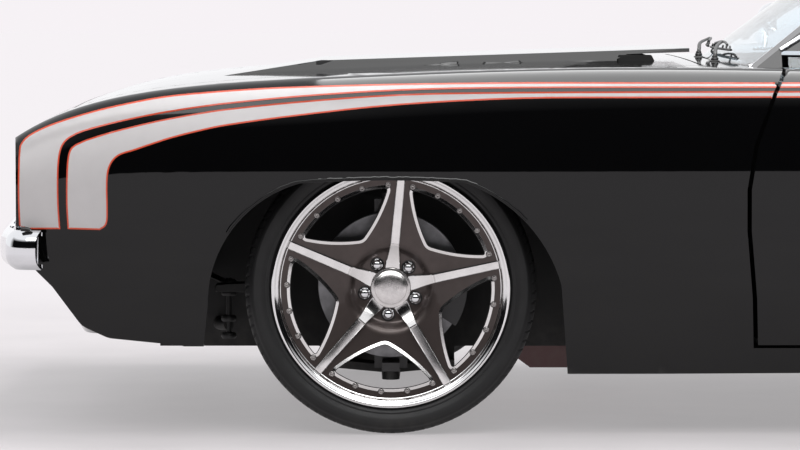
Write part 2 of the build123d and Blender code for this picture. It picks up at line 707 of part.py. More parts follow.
def make_boot_floor(inner):
    """The boot floor and the two covers over the rear wheels."""
    half = WHEELHOUSE_Y
    rear = BOOT_REAR_X - 40
    sheet = box(rear, KICK_X - FLOOR_SHEET, -half, half, BOOT_FLOOR_Z - SHEET, BOOT_FLOOR_Z)
    cover = liner((REAR_X, REAR_TYRE_R), REAR_LINER_R, half, FAR) & inner
    disc = rod((REAR_X, half - SHEET, REAR_TYRE_R), (REAR_X, half, REAR_TYRE_R), REAR_LINER_R + SHEET)
    wall = disc & box(*LENGTH_SPAN, 0, FAR, BOOT_FLOOR_Z - SHEET, FAR)
    pressing = box(REAR_X - 840, REAR_X - 160, -460, 460, BOOT_FLOOR_Z - SHEET, BOOT_FLOOR_Z + PRESSING)
    return sheet + pressing + both(cover + wall)


PRESSING = 6.0


def make_subframe():
    """The front subframe: two rails that rise over the axle, joined by two crossmembers."""
    rail = [
        (-720, 130), (-420, 112), (-330, 112), (-170, 230), (170, 230), (420, 250), (620, 262),
        (620, 340), (420, 340), (170, 325), (-170, 325), (-330, 215), (-420, 212), (-720, 199),
    ]
    points = [(FRONT_X + x, z) for x, z in rail]
    horn = box(FRONT_X + 600, FRONT_X + 620, RAIL_Y0, RAIL_Y1, 262, 460)
    rails = both(side_prism(points, RAIL_Y0, RAIL_Y1) + horn)
    cross = box(FRONT_X - 70, FRONT_X + 70, -RAIL_Y1, RAIL_Y1, 176, 236)
    front = box(FRONT_X + 540, FRONT_X + 600, -RAIL_Y1, RAIL_Y1, 266, 330)
    towers = both(box(FRONT_X - 60, FRONT_X + 60, RAIL_Y0 + 20, RAIL_Y1, 320, 560))
    return rails + cross + front + towers


RAIL_Y0 = 340.0
RAIL_Y1 = 420.0
BALL_HALF = 206.0
ARM_THICK = 18.0
HOOK_THICK = 20.0


def control_arm(z, spread, side):
    """One flat wishbone from the subframe out to the steering axis."""
    y_tip, y_root = FRONT_TRACK_HALF, RAIL_Y1
    neck = y_tip - 160
    rear = [(-20, y_tip), (-22, neck), (-spread, y_root + 40), (-spread, y_root), (60 - spread, y_root)]
    corners = rear + [(0, neck - 50)] + [(-x, y) for x, y in reversed(rear)]
    face = make_face(Polyline(*[(FRONT_X + x, y, z - ARM_THICK / 2) for x, y in corners], close=True))
    arm = extrude(face, amount=ARM_THICK, dir=(0, 0, 1))
    eye = Pos(FRONT_X, y_tip, z) * Cylinder(20, ARM_THICK)
    stud = Pos(FRONT_X, y_tip, z + side * 12) * Cylinder(STUD_R, ARM_THICK)
    return arm + eye + stud


STUD_R = 8.0


def make_control_arms():
    """Upper and lower wishbones of both front wheels."""
    low = control_arm(FRONT_TYRE_R - BALL_HALF, 150, 1)
    high = control_arm(FRONT_TYRE_R + BALL_HALF, 100, -1)
    low_mount = box(FRONT_X - 150, FRONT_X + 150, RAIL_Y0 + 10, RAIL_Y1, FRONT_TYRE_R - BALL_HALF - 9, 176)
    high_mount = box(FRONT_X - 100, FRONT_X + 100, RAIL_Y0 + 20, RAIL_Y1, 529, 560)
    tower = box(FRONT_X - 60, FRONT_X + 60, RAIL_Y0 + 20, RAIL_Y1, 320, 560)
    return both(low + low_mount + high + (high_mount - tower))


# Wheels, in their own frame: the axle along Y, the outside of the wheel at +Y


def ring(points):
    """A turned piece from (radius, y) corners."""
    return revolve(make_face(Polyline(*[(r, y, 0) for r, y in points], close=True)), axis=Axis.Y)


def sector(inner_r, outer_r, half_angle):
    """A wheel window: a triangle whose point looks at the hub, with an arc as its outer side."""
    a = radians(half_angle)
    left = (outer_r * sin(a), 0, outer_r * cos(a))
    right = (-left[0], 0, left[2])
    edges = [
        Line((0, 0, inner_r), left),
        ThreePointArc(left, (0, 0, outer_r + 3), right),
        Line(right, (0, 0, inner_r)),
    ]
    face = make_face(edges)
    face = fillet(face.vertices(), 11)
    return extrude(face, amount=200, dir=(0, 1, 0), both=True)


HUB_BORE_R = SPINDLE_R + BEARING_CLEARANCE
BARREL_R = 240.0


def make_rim(half):
    """A five-spoke wheel: a turned barrel and dished face, five windows, and a raised bar on each spoke."""
    lip, seat, deep = RIM_R, 258, 250
    barrel = ring(
        [
            (lip, half), (lip, half - 8), (seat, half - 14), (seat, half - 60), (deep, half - 76),
            (deep, 40 - half), (seat, 28 - half), (seat, 14 - half), (lip, 8 - half), (lip, -half),
            (seat + 4, -half), (BARREL_R + 6, 30 - half), (BARREL_R, 42 - half), (BARREL_R, half - 60),
            (BARREL_R, half - 16), (251, half - 10), (252, half - 3), (262, half),
        ]
    )
    face = ring(face_profile(half, 0))
    windows = [Rot(0, i * 360 / SPOKES, 0) * sector(128, 226, 28.8) for i in range(SPOKES)]
    bars = ring(face_profile(half, 8)) - ring(face_profile(half, 0))
    strip = Polyline((-18, 0, 46), (18, 0, 46), (9, 0, BARREL_R + 4), (-9, 0, BARREL_R + 4), close=True)
    blade = extrude(make_face(strip), amount=200, dir=(0, 1, 0))
    ridges = [Rot(0, (i + 0.5) * 360 / SPOKES, 0) * (bars & blade) for i in range(SPOKES)]
    holes = [
        Rot(0, i * 360 / SPOKES, 0) * Pos(0, half, STUD_CIRCLE_R) * Rot(90, 0, 0) * Cylinder(15, 60)
        for i in range(SPOKES)
    ]
    cap = Pos(0, half - 34, 0) * Rot(90, 0, 0) * Cylinder(36, 16)
    bore = Pos(0, half - 75, 0) * Rot(90, 0, 0) * Cylinder(HUB_BORE_R, 50)
    wheel = barrel + (face - windows - holes) + ridges + cap - bore
    return Rot(0, -WHEEL_TURN, 0) * wheel


def face_profile(half, raise_by):
    """The dished face: hub, spokes and outer ring, from the axle to the barrel."""
    top = half - 38
    back = [(0, top - 46), (88, top - 46), (100, top - 30), (BARREL_R, top - 4)]
    front = [
        (BARREL_R, half - 16 + raise_by * 0.3), (228, half - 17 + raise_by * 0.6),
        (120, top + 4 + raise_by), (52, top - 6 + raise_by), (0, top - 6 + raise_by),
    ]
    return back + front


TYRE_BEAD_R = 258.3


def tyre_wall(radius, half, rim_half, side, grow=0.0):
    """Sidewall and shoulder of a tyre as two arcs, on one side (1 or -1), drawn outwards by grow."""
    edge_r = RIM_R + 1
    slant = grow * 0.75
    points = [
        (edge_r, rim_half - 9 + grow),
        ((edge_r + radius) / 2, half + grow),
        (radius - 12 + slant, half - 12 + slant),
        (radius - 4 + slant, half - 21 + slant),
        (radius + grow, half - 36),
    ]
    a, b, c, d, e = [(r, side * y) for r, y in points]
    return [ThreePointArc(a, b, c), ThreePointArc(c, d, e)]


def make_tyre(radius, half, rim_half):
    """A low wide tyre with a flat tread, rounded shoulders and sides that bulge over the rim's edge."""
    bead = rim_half - 15
    edge_r = RIM_R + 1

    def half_profile(s):
        return [
            Line((TYRE_BEAD_R, s * (bead - 26)), (TYRE_BEAD_R, s * bead)),
            Line((TYRE_BEAD_R, s * bead), (edge_r, s * (bead + 6))),
            *tyre_wall(radius, half, rim_half, s),
        ]

    tread = Line((radius, half - 36), (radius, 36 - half))
    inside = ThreePointArc(
        (TYRE_BEAD_R, bead - 26), (radius - 24, 0), (TYRE_BEAD_R, 26 - bead)
    )
    return revolve(make_face([*half_profile(1), tread, *half_profile(-1), inside]), axis=Axis.Y)


def make_disc(half):
    """A brake disc with its hat, bolted behind the wheel's face."""
    face = half - 84
    return ring(
        [
            (HUB_BORE_R, face), (84, face), (84, face - 50), (DISC_R, face - 50), (DISC_R, face - 78),
            (76, face - 78), (76, face - 8), (HUB_BORE_R, face - 8),
        ]
    )


def placed(shape, axle, side):
    """A wheel piece moved to its axle on the left (1) or right (-1) side."""
    front = axle == "front"
    y = FRONT_TRACK_HALF if front else REAR_TRACK_HALF
    shape = Pos(axle_x(axle), y, FRONT_TYRE_R if front else REAR_TYRE_R) * shape
    return shape if side > 0 else mirrored(shape)


def make_knuckle():
    """The left front knuckle: an upright with a hook at each end, its spindle and the brake caliper."""
    face = FRONT_TYRE_HALF - 9 - 84
    back = face - 78 - 8
    upright = box(-38, 38, back - 26, back, -196, 196)
    reach = BALL_HALF - ARM_THICK / 2 - 1
    hooks = [box(-20, 20, back - 26, 20, s * reach, s * (reach - HOOK_THICK)) for s in (-1, 1)]
    eyes = [
        Pos(0, 0, s * (reach - HOOK_THICK / 2)) * Cylinder(STUD_R + 1, HOOK_THICK + 2) for s in (-1, 1)
    ]
    spindle = rod((0, back - 10, 0), (0, face + 14, 0), SPINDLE_R)
    caliper = ring([(100, face - 92), (100, face - 36), (176, face - 36), (176, face - 92)])
    slot = ring([(90, face - 84), (90, face - 44), (DISC_R + 4, face - 44), (DISC_R + 4, face - 84)])
    wedge = Polyline((0, 0, 0), (-300, 0, 110), (-300, 0, -190), close=True)
    caliper = (caliper - slot) & extrude(make_face(wedge), amount=300, dir=(0, 1, 0), both=True)
    bracket = box(-130, -30, back - 20, back, -60, 20)
    return upright + hooks + spindle + caliper + bracket - eyes


# Running gear


def make_rear_axle():
    """The rear axle: a tube with its differential and a stub at each end."""
    end = REAR_TRACK_HALF + REAR_RIM_HALF - 84
    tube = rod((REAR_X, -end + 90, REAR_TYRE_R), (REAR_X, end - 90, REAR_TYRE_R), 40)
    stub = rod((REAR_X, -end - 14, REAR_TYRE_R), (REAR_X, end + 14, REAR_TYRE_R), SPINDLE_R)
    carrier = Pos(REAR_X, 0, REAR_TYRE_R) * Sphere(118)
    nose = rod((REAR_X, 0, PINION_Z), (PINION_X, 0, PINION_Z), 52)
    return tube + stub + carrier + nose


PINION_X = REAR_X + 210
PINION_Z = REAR_TYRE_R - 20
REAR_RIM_HALF = REAR_TYRE_HALF - 8
FRONT_RIM_HALF = FRONT_TYRE_HALF - 9
SPRING_Y = 545.0


def make_leaf_springs():
    """A pair of leaf springs, each a bowed stack that passes under the axle tube."""
    low = REAR_TYRE_R - 40 - 32

    def bow(front, middle, rear):
        return ThreePointArc((SPRING_FRONT_X, 0, front), (REAR_X, 0, middle), (SPRING_REAR_X, 0, rear))

    outside, inside = bow(low + 44, low, low + 84), bow(low + 60, low + 32, low + 100)
    feet = [Line(outside @ 0, inside @ 0), Line(inside @ 1, outside @ 1)]
    face = make_face([outside, inside, *feet])
    leaf = extrude(face, amount=32, dir=(0, 1, 0), both=True)
    tail = rod((SPRING_REAR_X, -32, low + 92), (SPRING_REAR_X, 32, low + 92), 20)
    shackle = box(SPRING_REAR_X - 16, SPRING_REAR_X + 16, -12, 12, low + 92, BOOT_FLOOR_Z - SHEET)
    front = rod((SPRING_FRONT_X - 4, -32, low + 52), (SPRING_FRONT_X - 4, 32, low + 52), 22)
    hanger = box(SPRING_FRONT_X - 40, KICK_X - FLOOR_SHEET, -20, 20, low + 52, BOOT_FLOOR_Z - SHEET)
    return both(Pos(0, SPRING_Y, 0) * (leaf + tail + shackle + front + hanger))


SPRING_FRONT_X = REAR_X + 470
SPRING_REAR_X = REAR_X - 650


def make_engine():
    """One plain block at the engine's real place: a V of two banks on a crankcase and sump."""
    outline = [
        (-120, 200), (120, 200), (150, 330), (190, 400), (330, 560), (250, 660), (130, 640),
        (100, 690), (-100, 690), (-130, 640), (-250, 660), (-330, 560), (-190, 400), (-150, 330),
    ]
    block = front_prism(outline, FRONT_X - 520, FRONT_X + 130)
    block = block - box(FRONT_X - 80, FRONT_X + 140, -400, 400, 100, 245)
    filter_can = Pos(FRONT_X - 190, 0, 715) * Cylinder(170, 52)
    bell = rod((FRONT_X - 520, 0, 390), (FRONT_X - 640, 0, 375), 150)
    return block + filter_can + bell


def make_driveline():
    """Gearbox and propeller shaft, from the engine to the rear axle."""
    box_end = KICK_X + 1000
    case = front_prism([(-90, 205), (90, 205), (75, 312), (-75, 312)], box_end, DASH_X + 60)
    shaft = rod((box_end, 0, 262), (PINION_X + 14, 0, PINION_Z), 38)
    yoke = rod((PINION_X, 0, PINION_Z), (PINION_X + 40, 0, PINION_Z), 30)
    return case + shaft + yoke


def make_exhaust():
    """Twin pipes, each with a collector behind the engine and a silencer under the cabin floor."""
    z = FLOOR_Z - FLOOR_SHEET - EXHAUST_R - 5
    pipe = rod((FRONT_X - 700, EXHAUST_Y, z), (REAR_X + 520, EXHAUST_Y, z), EXHAUST_R)
    collector = rod((FRONT_X - 700, EXHAUST_Y, z + 14), (FRONT_X - 520, EXHAUST_Y, z + 14), 48)
    can = box(REAR_X + 560, REAR_X + 980, EXHAUST_Y - 95, EXHAUST_Y + 95, z - 22, FLOOR_Z - FLOOR_SHEET)
    can = fillet(can.edges().filter_by(Axis.X).group_by(Axis.Z)[0], 20)
    return both(pipe + can + collector)


EXHAUST_Y = 280.0
EXHAUST_R = 30.0


def make_fuel_tank():
    tank = box(REAR_X - 850, REAR_X - 430, -420, 420, 240, BOOT_FLOOR_Z - SHEET)
    return fillet(tank.edges().filter_by(Axis.Y).group_by(Axis.Z)[0], 60)


def make_radiator():
    core = box(FRONT_X + 545, FRONT_X + 595, -335, 335, 330, 650)
    shroud = rod((FRONT_X + 545, 0, 500), (FRONT_X + 480, 0, 500), 165) - rod(
        (FRONT_X + 545, 0, 500), (FRONT_X + 480, 0, 500), 155
    )
    return core + shroud


# Cabin


def make_dashboard():
    """The dashboard, with a hooded instrument bay and the steering column under it."""
    outline = [(DASH_X - 12, 800), (DASH_X - 12, 560), (430, 540), (385, 640), (395, 760), (450, 800)]
    panel = side_prism(outline, -DASH_HALF, DASH_HALF)
    bay = box(300, 420, WHEEL_Y - 190, WHEEL_Y + 190, 668, 752)
    end = column_point(COLUMN_LENGTH)
    start = column_point(26)
    return panel - bay + rod(start, end, 24)


DASH_HALF = 735.0 * WIDE
WHEEL_Y = 370.0
WHEEL_CENTRE = (120.0, 650.0)
COLUMN_TILT = 22.0
COLUMN_LENGTH = 380.0
STEERING_R = 182.0


def column_point(distance):
    """A point on the steering column, measured forward from the steering wheel's centre."""
    a = radians(COLUMN_TILT)
    return (WHEEL_CENTRE[0] + distance * cos(a), WHEEL_Y, WHEEL_CENTRE[1] - distance * sin(a))


def make_steering_wheel():
    """A round rim on three dished spokes with a hub."""
    rim = Torus(STEERING_R, 13)
    hub = Pos(0, 0, -12) * Cylinder(32, 28)
    spoke = Pos(STEERING_R / 2 + 8, 0, -6) * Box(STEERING_R - 24, 26, 5)
    spokes = [Rot(0, 0, angle) * spoke for angle in (0, 180, 270)]
    wheel = rim + hub + spokes
    return Pos(*column_point(0)) * Rot(0, COLUMN_TILT - 90, 0) * Rot(0, 0, 90) * wheel


SEAT_Y = 374.0
SEAT_HALF = 238.0


def make_front_seat():
    """A bucket seat: cushion and reclined back."""
    cushion = [(250, FLOOR_Z), (250, 400), (235, 432), (-230, 396), (-250, FLOOR_Z)]
    back = [(-130, 404), (-330, 930), (-400, 930), (-420, 880), (-262, 330), (-240, 300), (-232, 396)]
    seat = side_prism(cushion, -SEAT_HALF, SEAT_HALF) + side_prism(back, 20 - SEAT_HALF, SEAT_HALF - 20)
    return Pos(0, SEAT_Y, 0) * seat


def make_rear_seat():
    """The rear bench: a cushion on the heel of the floor and a back against the boot."""
    front = KICK_X + 330
    low, heel = FLOOR_Z, BOOT_FLOOR_Z
    cushion = [
        (front, low), (front, 380), (front - 20, 410), (KICK_X + 20, 375), (KICK_X, 375), (KICK_X, low),
    ]
    back = [
        (KICK_X, 375), (KICK_X + 55, 375), (KICK_X - 90, SHELF_Z), (KICK_X - 170, SHELF_Z),
        (KICK_X - 50, heel), (KICK_X, heel),
    ]
    tunnel = box(KICK_X, front + 10, -TUNNEL_HALF - 2, TUNNEL_HALF + 2, 0, TUNNEL_TOP + 2)
    half = WHEELHOUSE_Y - 20
    return side_prism(cushion, -half, half) - tunnel + side_prism(back, -half, half)


def make_shelf():
    """The shelf under the back window."""
    return box(BELT.rear_x - 40, KICK_X - 90, -690, 690, SHELF_Z, SHELF_Z + SHEET)


SHELF_Z = 800.0


def main():
    os.makedirs("parts", exist_ok=True)
    outer = solid_of(body_loft(0) & plan_prism(0)) - lower_trim()
    inner = body_loft(SKIN)
    skin = outer - inner
    left = box(*LENGTH_SPAN, 0, FAR, 0, FAR)
    left_skin = skin & left
    hole = door_block(DOOR_GAP)
    glass = glass_skin()

    parts = {
        "hood": make_hood(skin, outer),
        "nose_panel": make_nose(skin),
        "front_valance": make_valance(inner),
        "grille": make_grille(inner),
        "headlamps": make_headlamps(),
        "front_bumper": make_front_bumper(),
        "rear_bumper": make_rear_bumper(),
        "roof_panel": make_roof(outer),
        "cowl_panel": make_cowl(skin),
        "deck_filler_panel": make_deck_filler(skin),
        "boot_lid": make_boot_lid(skin),
        "tail_panel": make_tail_panel(skin, inner),
        "tail_lamps": make_tail_lamps(inner),
        "rocker_panels": both(make_rocker(outer & left)),
        "floor_pan": make_floor(),
        "firewall": make_firewall(inner),
        "inner_fenders": both(make_front_liner(inner)),
        "boot_floor": make_boot_floor(inner),
        "subframe": make_subframe(),
        "control_arms": make_control_arms(),
        "rear_axle": make_rear_axle(),
        "leaf_springs": make_leaf_springs(),
        "engine_block": make_engine(),
        "driveline": make_driveline(),
        "exhaust": make_exhaust(),
        "fuel_tank": make_fuel_tank(),
        "radiator": make_radiator(),
        "dashboard": make_dashboard(),
        "steering_wheel": make_steering_wheel(),
        "rear_seat": make_rear_seat(),
        "parcel_shelf": make_shelf(),
    }
    parts["windscreen"], parts["rear_window"] = make_screens(glass, outer)
    door = outer & door_block(0) & left
    door_glass, quarter_glass = make_side_glass(glass, outer)
    parts["quarter_glass"] = both(quarter_glass)
    sided = {
        "front_fender": make_fender(left_skin, hole),
        "quarter_panel": make_quarter(left_skin, hole),
        "door": door,
        "door_glass": door_glass,
        "front_seat": make_front_seat(),
        "knuckle": placed(make_knuckle(), "front", 1),
    }
    for axle, radius, half, rim_half in (
        ("front", FRONT_TYRE_R, FRONT_TYRE_HALF, FRONT_RIM_HALF),
        ("rear", REAR_TYRE_R, REAR_TYRE_HALF, REAR_RIM_HALF),
    ):
        sided[f"{axle}_rim"] = placed(make_rim(rim_half), axle, 1)
        sided[f"{axle}_tyre"] = placed(make_tyre(radius, half, rim_half), axle, 1)
        sided[f"{axle}_disc"] = placed(make_disc(rim_half), axle, 1)
    for name, shape in sided.items():
        parts[f"{name}_left"] = shape
        parts[f"{name}_right"] = mirrored(shape)

    for name, shape in parts.items():
        export_step(Compound(children=list(shape.solids())), f"parts/{name}.step")


main()
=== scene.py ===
"""Looks of a lowered two-door muscle car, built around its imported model.

Lengths are metres in the model's frame: +X to the nose, +Y to the car's left, +Z up.
"""

import json
import logging
import math
from collections.abc import Callable, Iterable, Sequence
from dataclasses import dataclass, field
from enum import Enum

import bmesh
import bpy
import numpy as np
from mathutils import Matrix, Vector
from mathutils.bvhtree import BVHTree
from mathutils.geometry import barycentric_transform, delaunay_2d_cdt

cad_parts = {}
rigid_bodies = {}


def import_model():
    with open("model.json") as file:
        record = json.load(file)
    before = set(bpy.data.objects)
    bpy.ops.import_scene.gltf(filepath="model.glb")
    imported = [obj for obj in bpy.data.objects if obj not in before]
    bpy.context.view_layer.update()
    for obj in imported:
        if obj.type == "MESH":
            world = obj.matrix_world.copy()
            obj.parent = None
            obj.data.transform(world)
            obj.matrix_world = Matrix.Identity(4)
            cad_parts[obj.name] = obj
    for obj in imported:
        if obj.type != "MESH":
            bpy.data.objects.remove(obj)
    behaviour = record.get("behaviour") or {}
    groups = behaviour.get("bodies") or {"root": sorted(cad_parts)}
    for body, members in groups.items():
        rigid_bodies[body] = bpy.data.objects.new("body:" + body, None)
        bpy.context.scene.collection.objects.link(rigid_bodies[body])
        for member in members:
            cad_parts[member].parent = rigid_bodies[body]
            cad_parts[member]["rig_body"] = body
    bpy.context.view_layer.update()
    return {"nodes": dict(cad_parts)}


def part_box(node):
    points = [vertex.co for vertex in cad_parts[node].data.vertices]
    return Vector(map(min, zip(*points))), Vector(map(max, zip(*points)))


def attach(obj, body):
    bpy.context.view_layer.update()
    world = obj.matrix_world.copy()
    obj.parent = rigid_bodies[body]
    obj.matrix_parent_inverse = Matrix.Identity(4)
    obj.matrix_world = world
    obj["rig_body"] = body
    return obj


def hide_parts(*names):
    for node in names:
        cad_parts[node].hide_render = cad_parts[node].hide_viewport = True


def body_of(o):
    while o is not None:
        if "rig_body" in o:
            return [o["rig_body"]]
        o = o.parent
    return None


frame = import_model()
log = logging.getLogger("muscle_car")

Color = tuple[float, float, float]
Point2 = tuple[float, float]
Point3 = tuple[float, float, float]
Outline = tuple[Point2, ...]
Row = Sequence[Sequence[float]]
Face = tuple[int, ...]

# Points nearer than this become one
MERGE_GAP = 0.00001
# The words in the node names, and the sign of Y on that side
SIDES: tuple[tuple[str, float], ...] = (("left", 1.0), ("right", -1.0))
MID_GREY: Color = (0.5, 0.5, 0.5)


class Relief(Enum):
    """The kind of fine relief that a finish has."""

    PEEL = "Orange peel"
    GRAIN = "Grain"
    LEATHER = "Leather grain"
    PILE = "Carpet pile"
    BRUSHED = "Brushed lines"


@dataclass(frozen=True)
class Finish:
    """A surface finish: its colour and gloss, how far they vary, and its fine relief."""

    name: str
    color: Color
    roughness: float = 0.5
    metallic: float = 0.0
    specular: float = 0.5
    coat: float = 0.0
    sheen: float = 0.0
    mottle: float = 0.15
    mottle_size: float = 0.25
    gloss_spread: float = 0.06
    relief: Relief = Relief.GRAIN
    relief_size: float = 0.002
    relief_depth: float = 0.0
    dust: float = 0.0
    dust_top: float = 0.25
    transmission: float = 0.0
    ior: float = 1.5


class ShaderTree:
    """Short ways to add, set and wire the nodes of one material or node group."""

    def __init__(self, tree: bpy.types.NodeTree) -> None:
        """Keeps a material's or group's node tree."""
        self.tree = tree

    def link(self, source: bpy.types.NodeSocket, target: bpy.types.NodeSocket) -> None:
        """Wires an output to an input."""
        self.tree.links.new(source, target)

    def add(self, kind: str, inputs: dict[str, object] | None = None, **settings: object) -> bpy.types.Node:
        """Adds one node.

        Args:
            kind: The node's Blender type name.
            inputs: Socket name to a constant, or to the output socket that feeds it.
            **settings: The node's own properties.

        Returns:
            The new node.
        """
        node = self.tree.nodes.new(kind)
        for name, value in settings.items():
            setattr(node, name, value)
        for name, value in (inputs or {}).items():
            socket = node.inputs[int(name)] if name.isdigit() else node.inputs[name]
            if isinstance(value, bpy.types.NodeSocket):
                self.link(value, socket)
            else:
                socket.default_value = value
        return node

    def math(self, operation: str, first: object, second: object = 0.0) -> bpy.types.NodeSocket:
        """Adds a math node on two numbers or sockets and returns its value."""
        return self.add("ShaderNodeMath", {"0": first, "1": second}, operation=operation).outputs[0]

    def ramp(self, value: bpy.types.NodeSocket, low: float, high: float) -> bpy.types.NodeSocket:
        """Maps a value onto 0 to 1: low becomes 0 and high becomes 1."""
        inputs = {"Value": value, "From Min": low, "From Max": high}
        return self.add("ShaderNodeMapRange", inputs, clamp=True).outputs[0]

    def blend(self, factor: object, first: object, second: object) -> bpy.types.NodeSocket:
        """Mixes two colours.

        Args:
            factor: The share of the second colour.
            first: A colour or a socket.
            second: A colour or a socket.

        Returns:
            The mixed colour.
        """
        node = self.add("ShaderNodeMix", data_type="RGBA")
        for socket, value in zip((node.inputs[0], node.inputs[6], node.inputs[7]), (factor, first, second)):
            if isinstance(value, bpy.types.NodeSocket):
                self.link(value, socket)
            else:
                socket.default_value = value if isinstance(value, float) else (*value[:3], 1.0)
        return node.outputs[2]


class NodeGroups:
    """The shader effects that more than one finish uses, each built once as a node group."""

    def __init__(self) -> None:
        """Starts with no group built."""
        self.built: dict[str, bpy.types.NodeTree] = {}

    def get(self, name: str, make: Callable[[], bpy.types.NodeTree]) -> bpy.types.NodeTree:
        """Returns a group, and builds it the first time.

        Args:
            name: The group's name.
            make: What builds it.

        Returns:
            The group's tree.
        """
        if name not in self.built:
            self.built[name] = make()
        return self.built[name]

    @staticmethod
    def start(name: str, inputs: dict[str, object], outputs: Iterable[str]) -> tuple[ShaderTree, dict, dict]:
        """Makes an empty group with its sockets.

        Args:
            name: The group's name.
            inputs: Input name to default value; a colour is a tuple.
            outputs: Output names; one named Color is a colour, the rest are values.

        Returns:
            The tree, the inputs by name and the output sockets by name.
        """
        tree = bpy.data.node_groups.new(name, "ShaderNodeTree")
        for key, value in inputs.items():
            kind = "NodeSocketColor" if isinstance(value, tuple) else "NodeSocketFloat"
            socket = tree.interface.new_socket(key, in_out="INPUT", socket_type=kind)
            socket.default_value = (*value, 1.0) if isinstance(value, tuple) else value
        for key in outputs:
            kind = "NodeSocketColor" if key == "Color" else "NodeSocketFloat"
            tree.interface.new_socket(key, in_out="OUTPUT", socket_type=kind)
        shader = ShaderTree(tree)
        source = shader.add("NodeGroupInput")
        sink = shader.add("NodeGroupOutput")
        return shader, {s.name: s for s in source.outputs}, {s.name: s for s in sink.inputs}

    def mottle(self) -> bpy.types.NodeTree:
        """Returns the group that lets a colour and a roughness drift over the surface."""

        def make() -> bpy.types.NodeTree:
            """Builds the group."""
            values = {"Color": MID_GREY, "Size": 0.25, "Amount": 0.15, "Roughness": 0.5, "Spread": 0.06}
            tree, given, out = self.start("Mottle", values, ("Color", "Roughness"))
            place = tree.add("ShaderNodeTexCoord").outputs["Object"]
            scale = tree.math("DIVIDE", 1.0, given["Size"])
            noise = tree.add("ShaderNodeTexNoise", {"Vector": place, "Scale": scale, "Detail": 5.0})
            share = tree.ramp(noise.outputs[0], 0.3, 0.7)
            dark = tree.math("SUBTRACT", 1.0, tree.math("MULTIPLY", share, given["Amount"]))
            grey = tree.add("ShaderNodeCombineColor", {"Red": dark, "Green": dark, "Blue": dark}).outputs[0]
            product = tree.add("ShaderNodeMix", data_type="RGBA", blend_type="MULTIPLY")
            product.inputs[0].default_value = 1.0
            tree.link(given["Color"], product.inputs[6])
            tree.link(grey, product.inputs[7])
            tree.link(product.outputs[2], out["Color"])
            drift = tree.math("MULTIPLY", tree.math("SUBTRACT", share, 0.5), given["Spread"])
            tree.link(tree.math("ADD", given["Roughness"], drift), out["Roughness"])
            return tree.tree

        return self.get("Mottle", make)

    def dust(self) -> bpy.types.NodeTree:
        """Returns the group that lays pale dust low down on a surface."""

        def make() -> bpy.types.NodeTree:
            """Builds the group."""
            values = {"Color": MID_GREY, "Amount": 0.2, "Top": 0.25, "Roughness": 0.5}
            tree, given, out = self.start("Low dust", values, ("Color", "Roughness"))
            place = tree.add("ShaderNodeTexCoord").outputs["Object"]
            height = tree.add("ShaderNodeSeparateXYZ", {"Vector": place}).outputs["Z"]
            low = tree.math("SUBTRACT", 1.0, tree.math("DIVIDE", height, given["Top"]))
            noise = tree.add("ShaderNodeTexNoise", {"Vector": place, "Scale": 38.0, "Detail": 6.0}).outputs[0]
            share = tree.math("MULTIPLY", tree.ramp(low, 0.0, 1.0), tree.ramp(noise, 0.35, 0.75))
            share = tree.math("MULTIPLY", share, given["Amount"])
            tree.link(tree.blend(share, given["Color"], (0.30, 0.27, 0.24)), out["Color"])
            rough = tree.math("MULTIPLY", share, 0.5)
            tree.link(tree.math("ADD", given["Roughness"], rough), out["Roughness"])
            return tree.tree

        return self.get("Low dust", make)

    def relief(self, kind: Relief) -> bpy.types.NodeTree:
        """Returns the group that makes one kind of fine relief.

        Args:
            kind: Which relief.

        Returns:
            A group from Size to Height.
        """

        def make() -> bpy.types.NodeTree:
            """Builds the group."""
            tree, given, out = self.start(kind.value, {"Size": 0.002}, ("Height",))
            place = tree.add("ShaderNodeTexCoord").outputs["Object"]
            scale = tree.math("DIVIDE", 1.0, given["Size"])
            at = {"Vector": place, "Scale": scale}
            if kind is Relief.LEATHER:
                cells = tree.add("ShaderNodeTexVoronoi", at, feature="SMOOTH_F1")
                fine = tree.add("ShaderNodeTexNoise", {**at, "Detail": 4.0})
                dome = tree.math("SUBTRACT", 1.0, cells.outputs["Distance"])
                height = tree.math("ADD", dome, tree.math("MULTIPLY", fine.outputs[0], 0.35))
            elif kind is Relief.BRUSHED:
                flat = tree.add("ShaderNodeMapping", {"Vector": place, "Scale": (0.06, 1.0, 1.0)})
                lines = {"Vector": flat.outputs[0], "Scale": scale, "Detail": 3.0}
                height = tree.add("ShaderNodeTexNoise", lines).outputs[0]
            elif kind is Relief.PILE:
                tufts = tree.add("ShaderNodeTexVoronoi", {**at, "Randomness": 1.0})
                height = tree.math("SUBTRACT", 1.0, tufts.outputs["Distance"])
            else:
                detail = 1.0 if kind is Relief.PEEL else 8.0
                height = tree.add("ShaderNodeTexNoise", {**at, "Detail": detail}).outputs[0]
            tree.link(height, out["Height"])
            return tree.tree

        return self.get(kind.value, make)


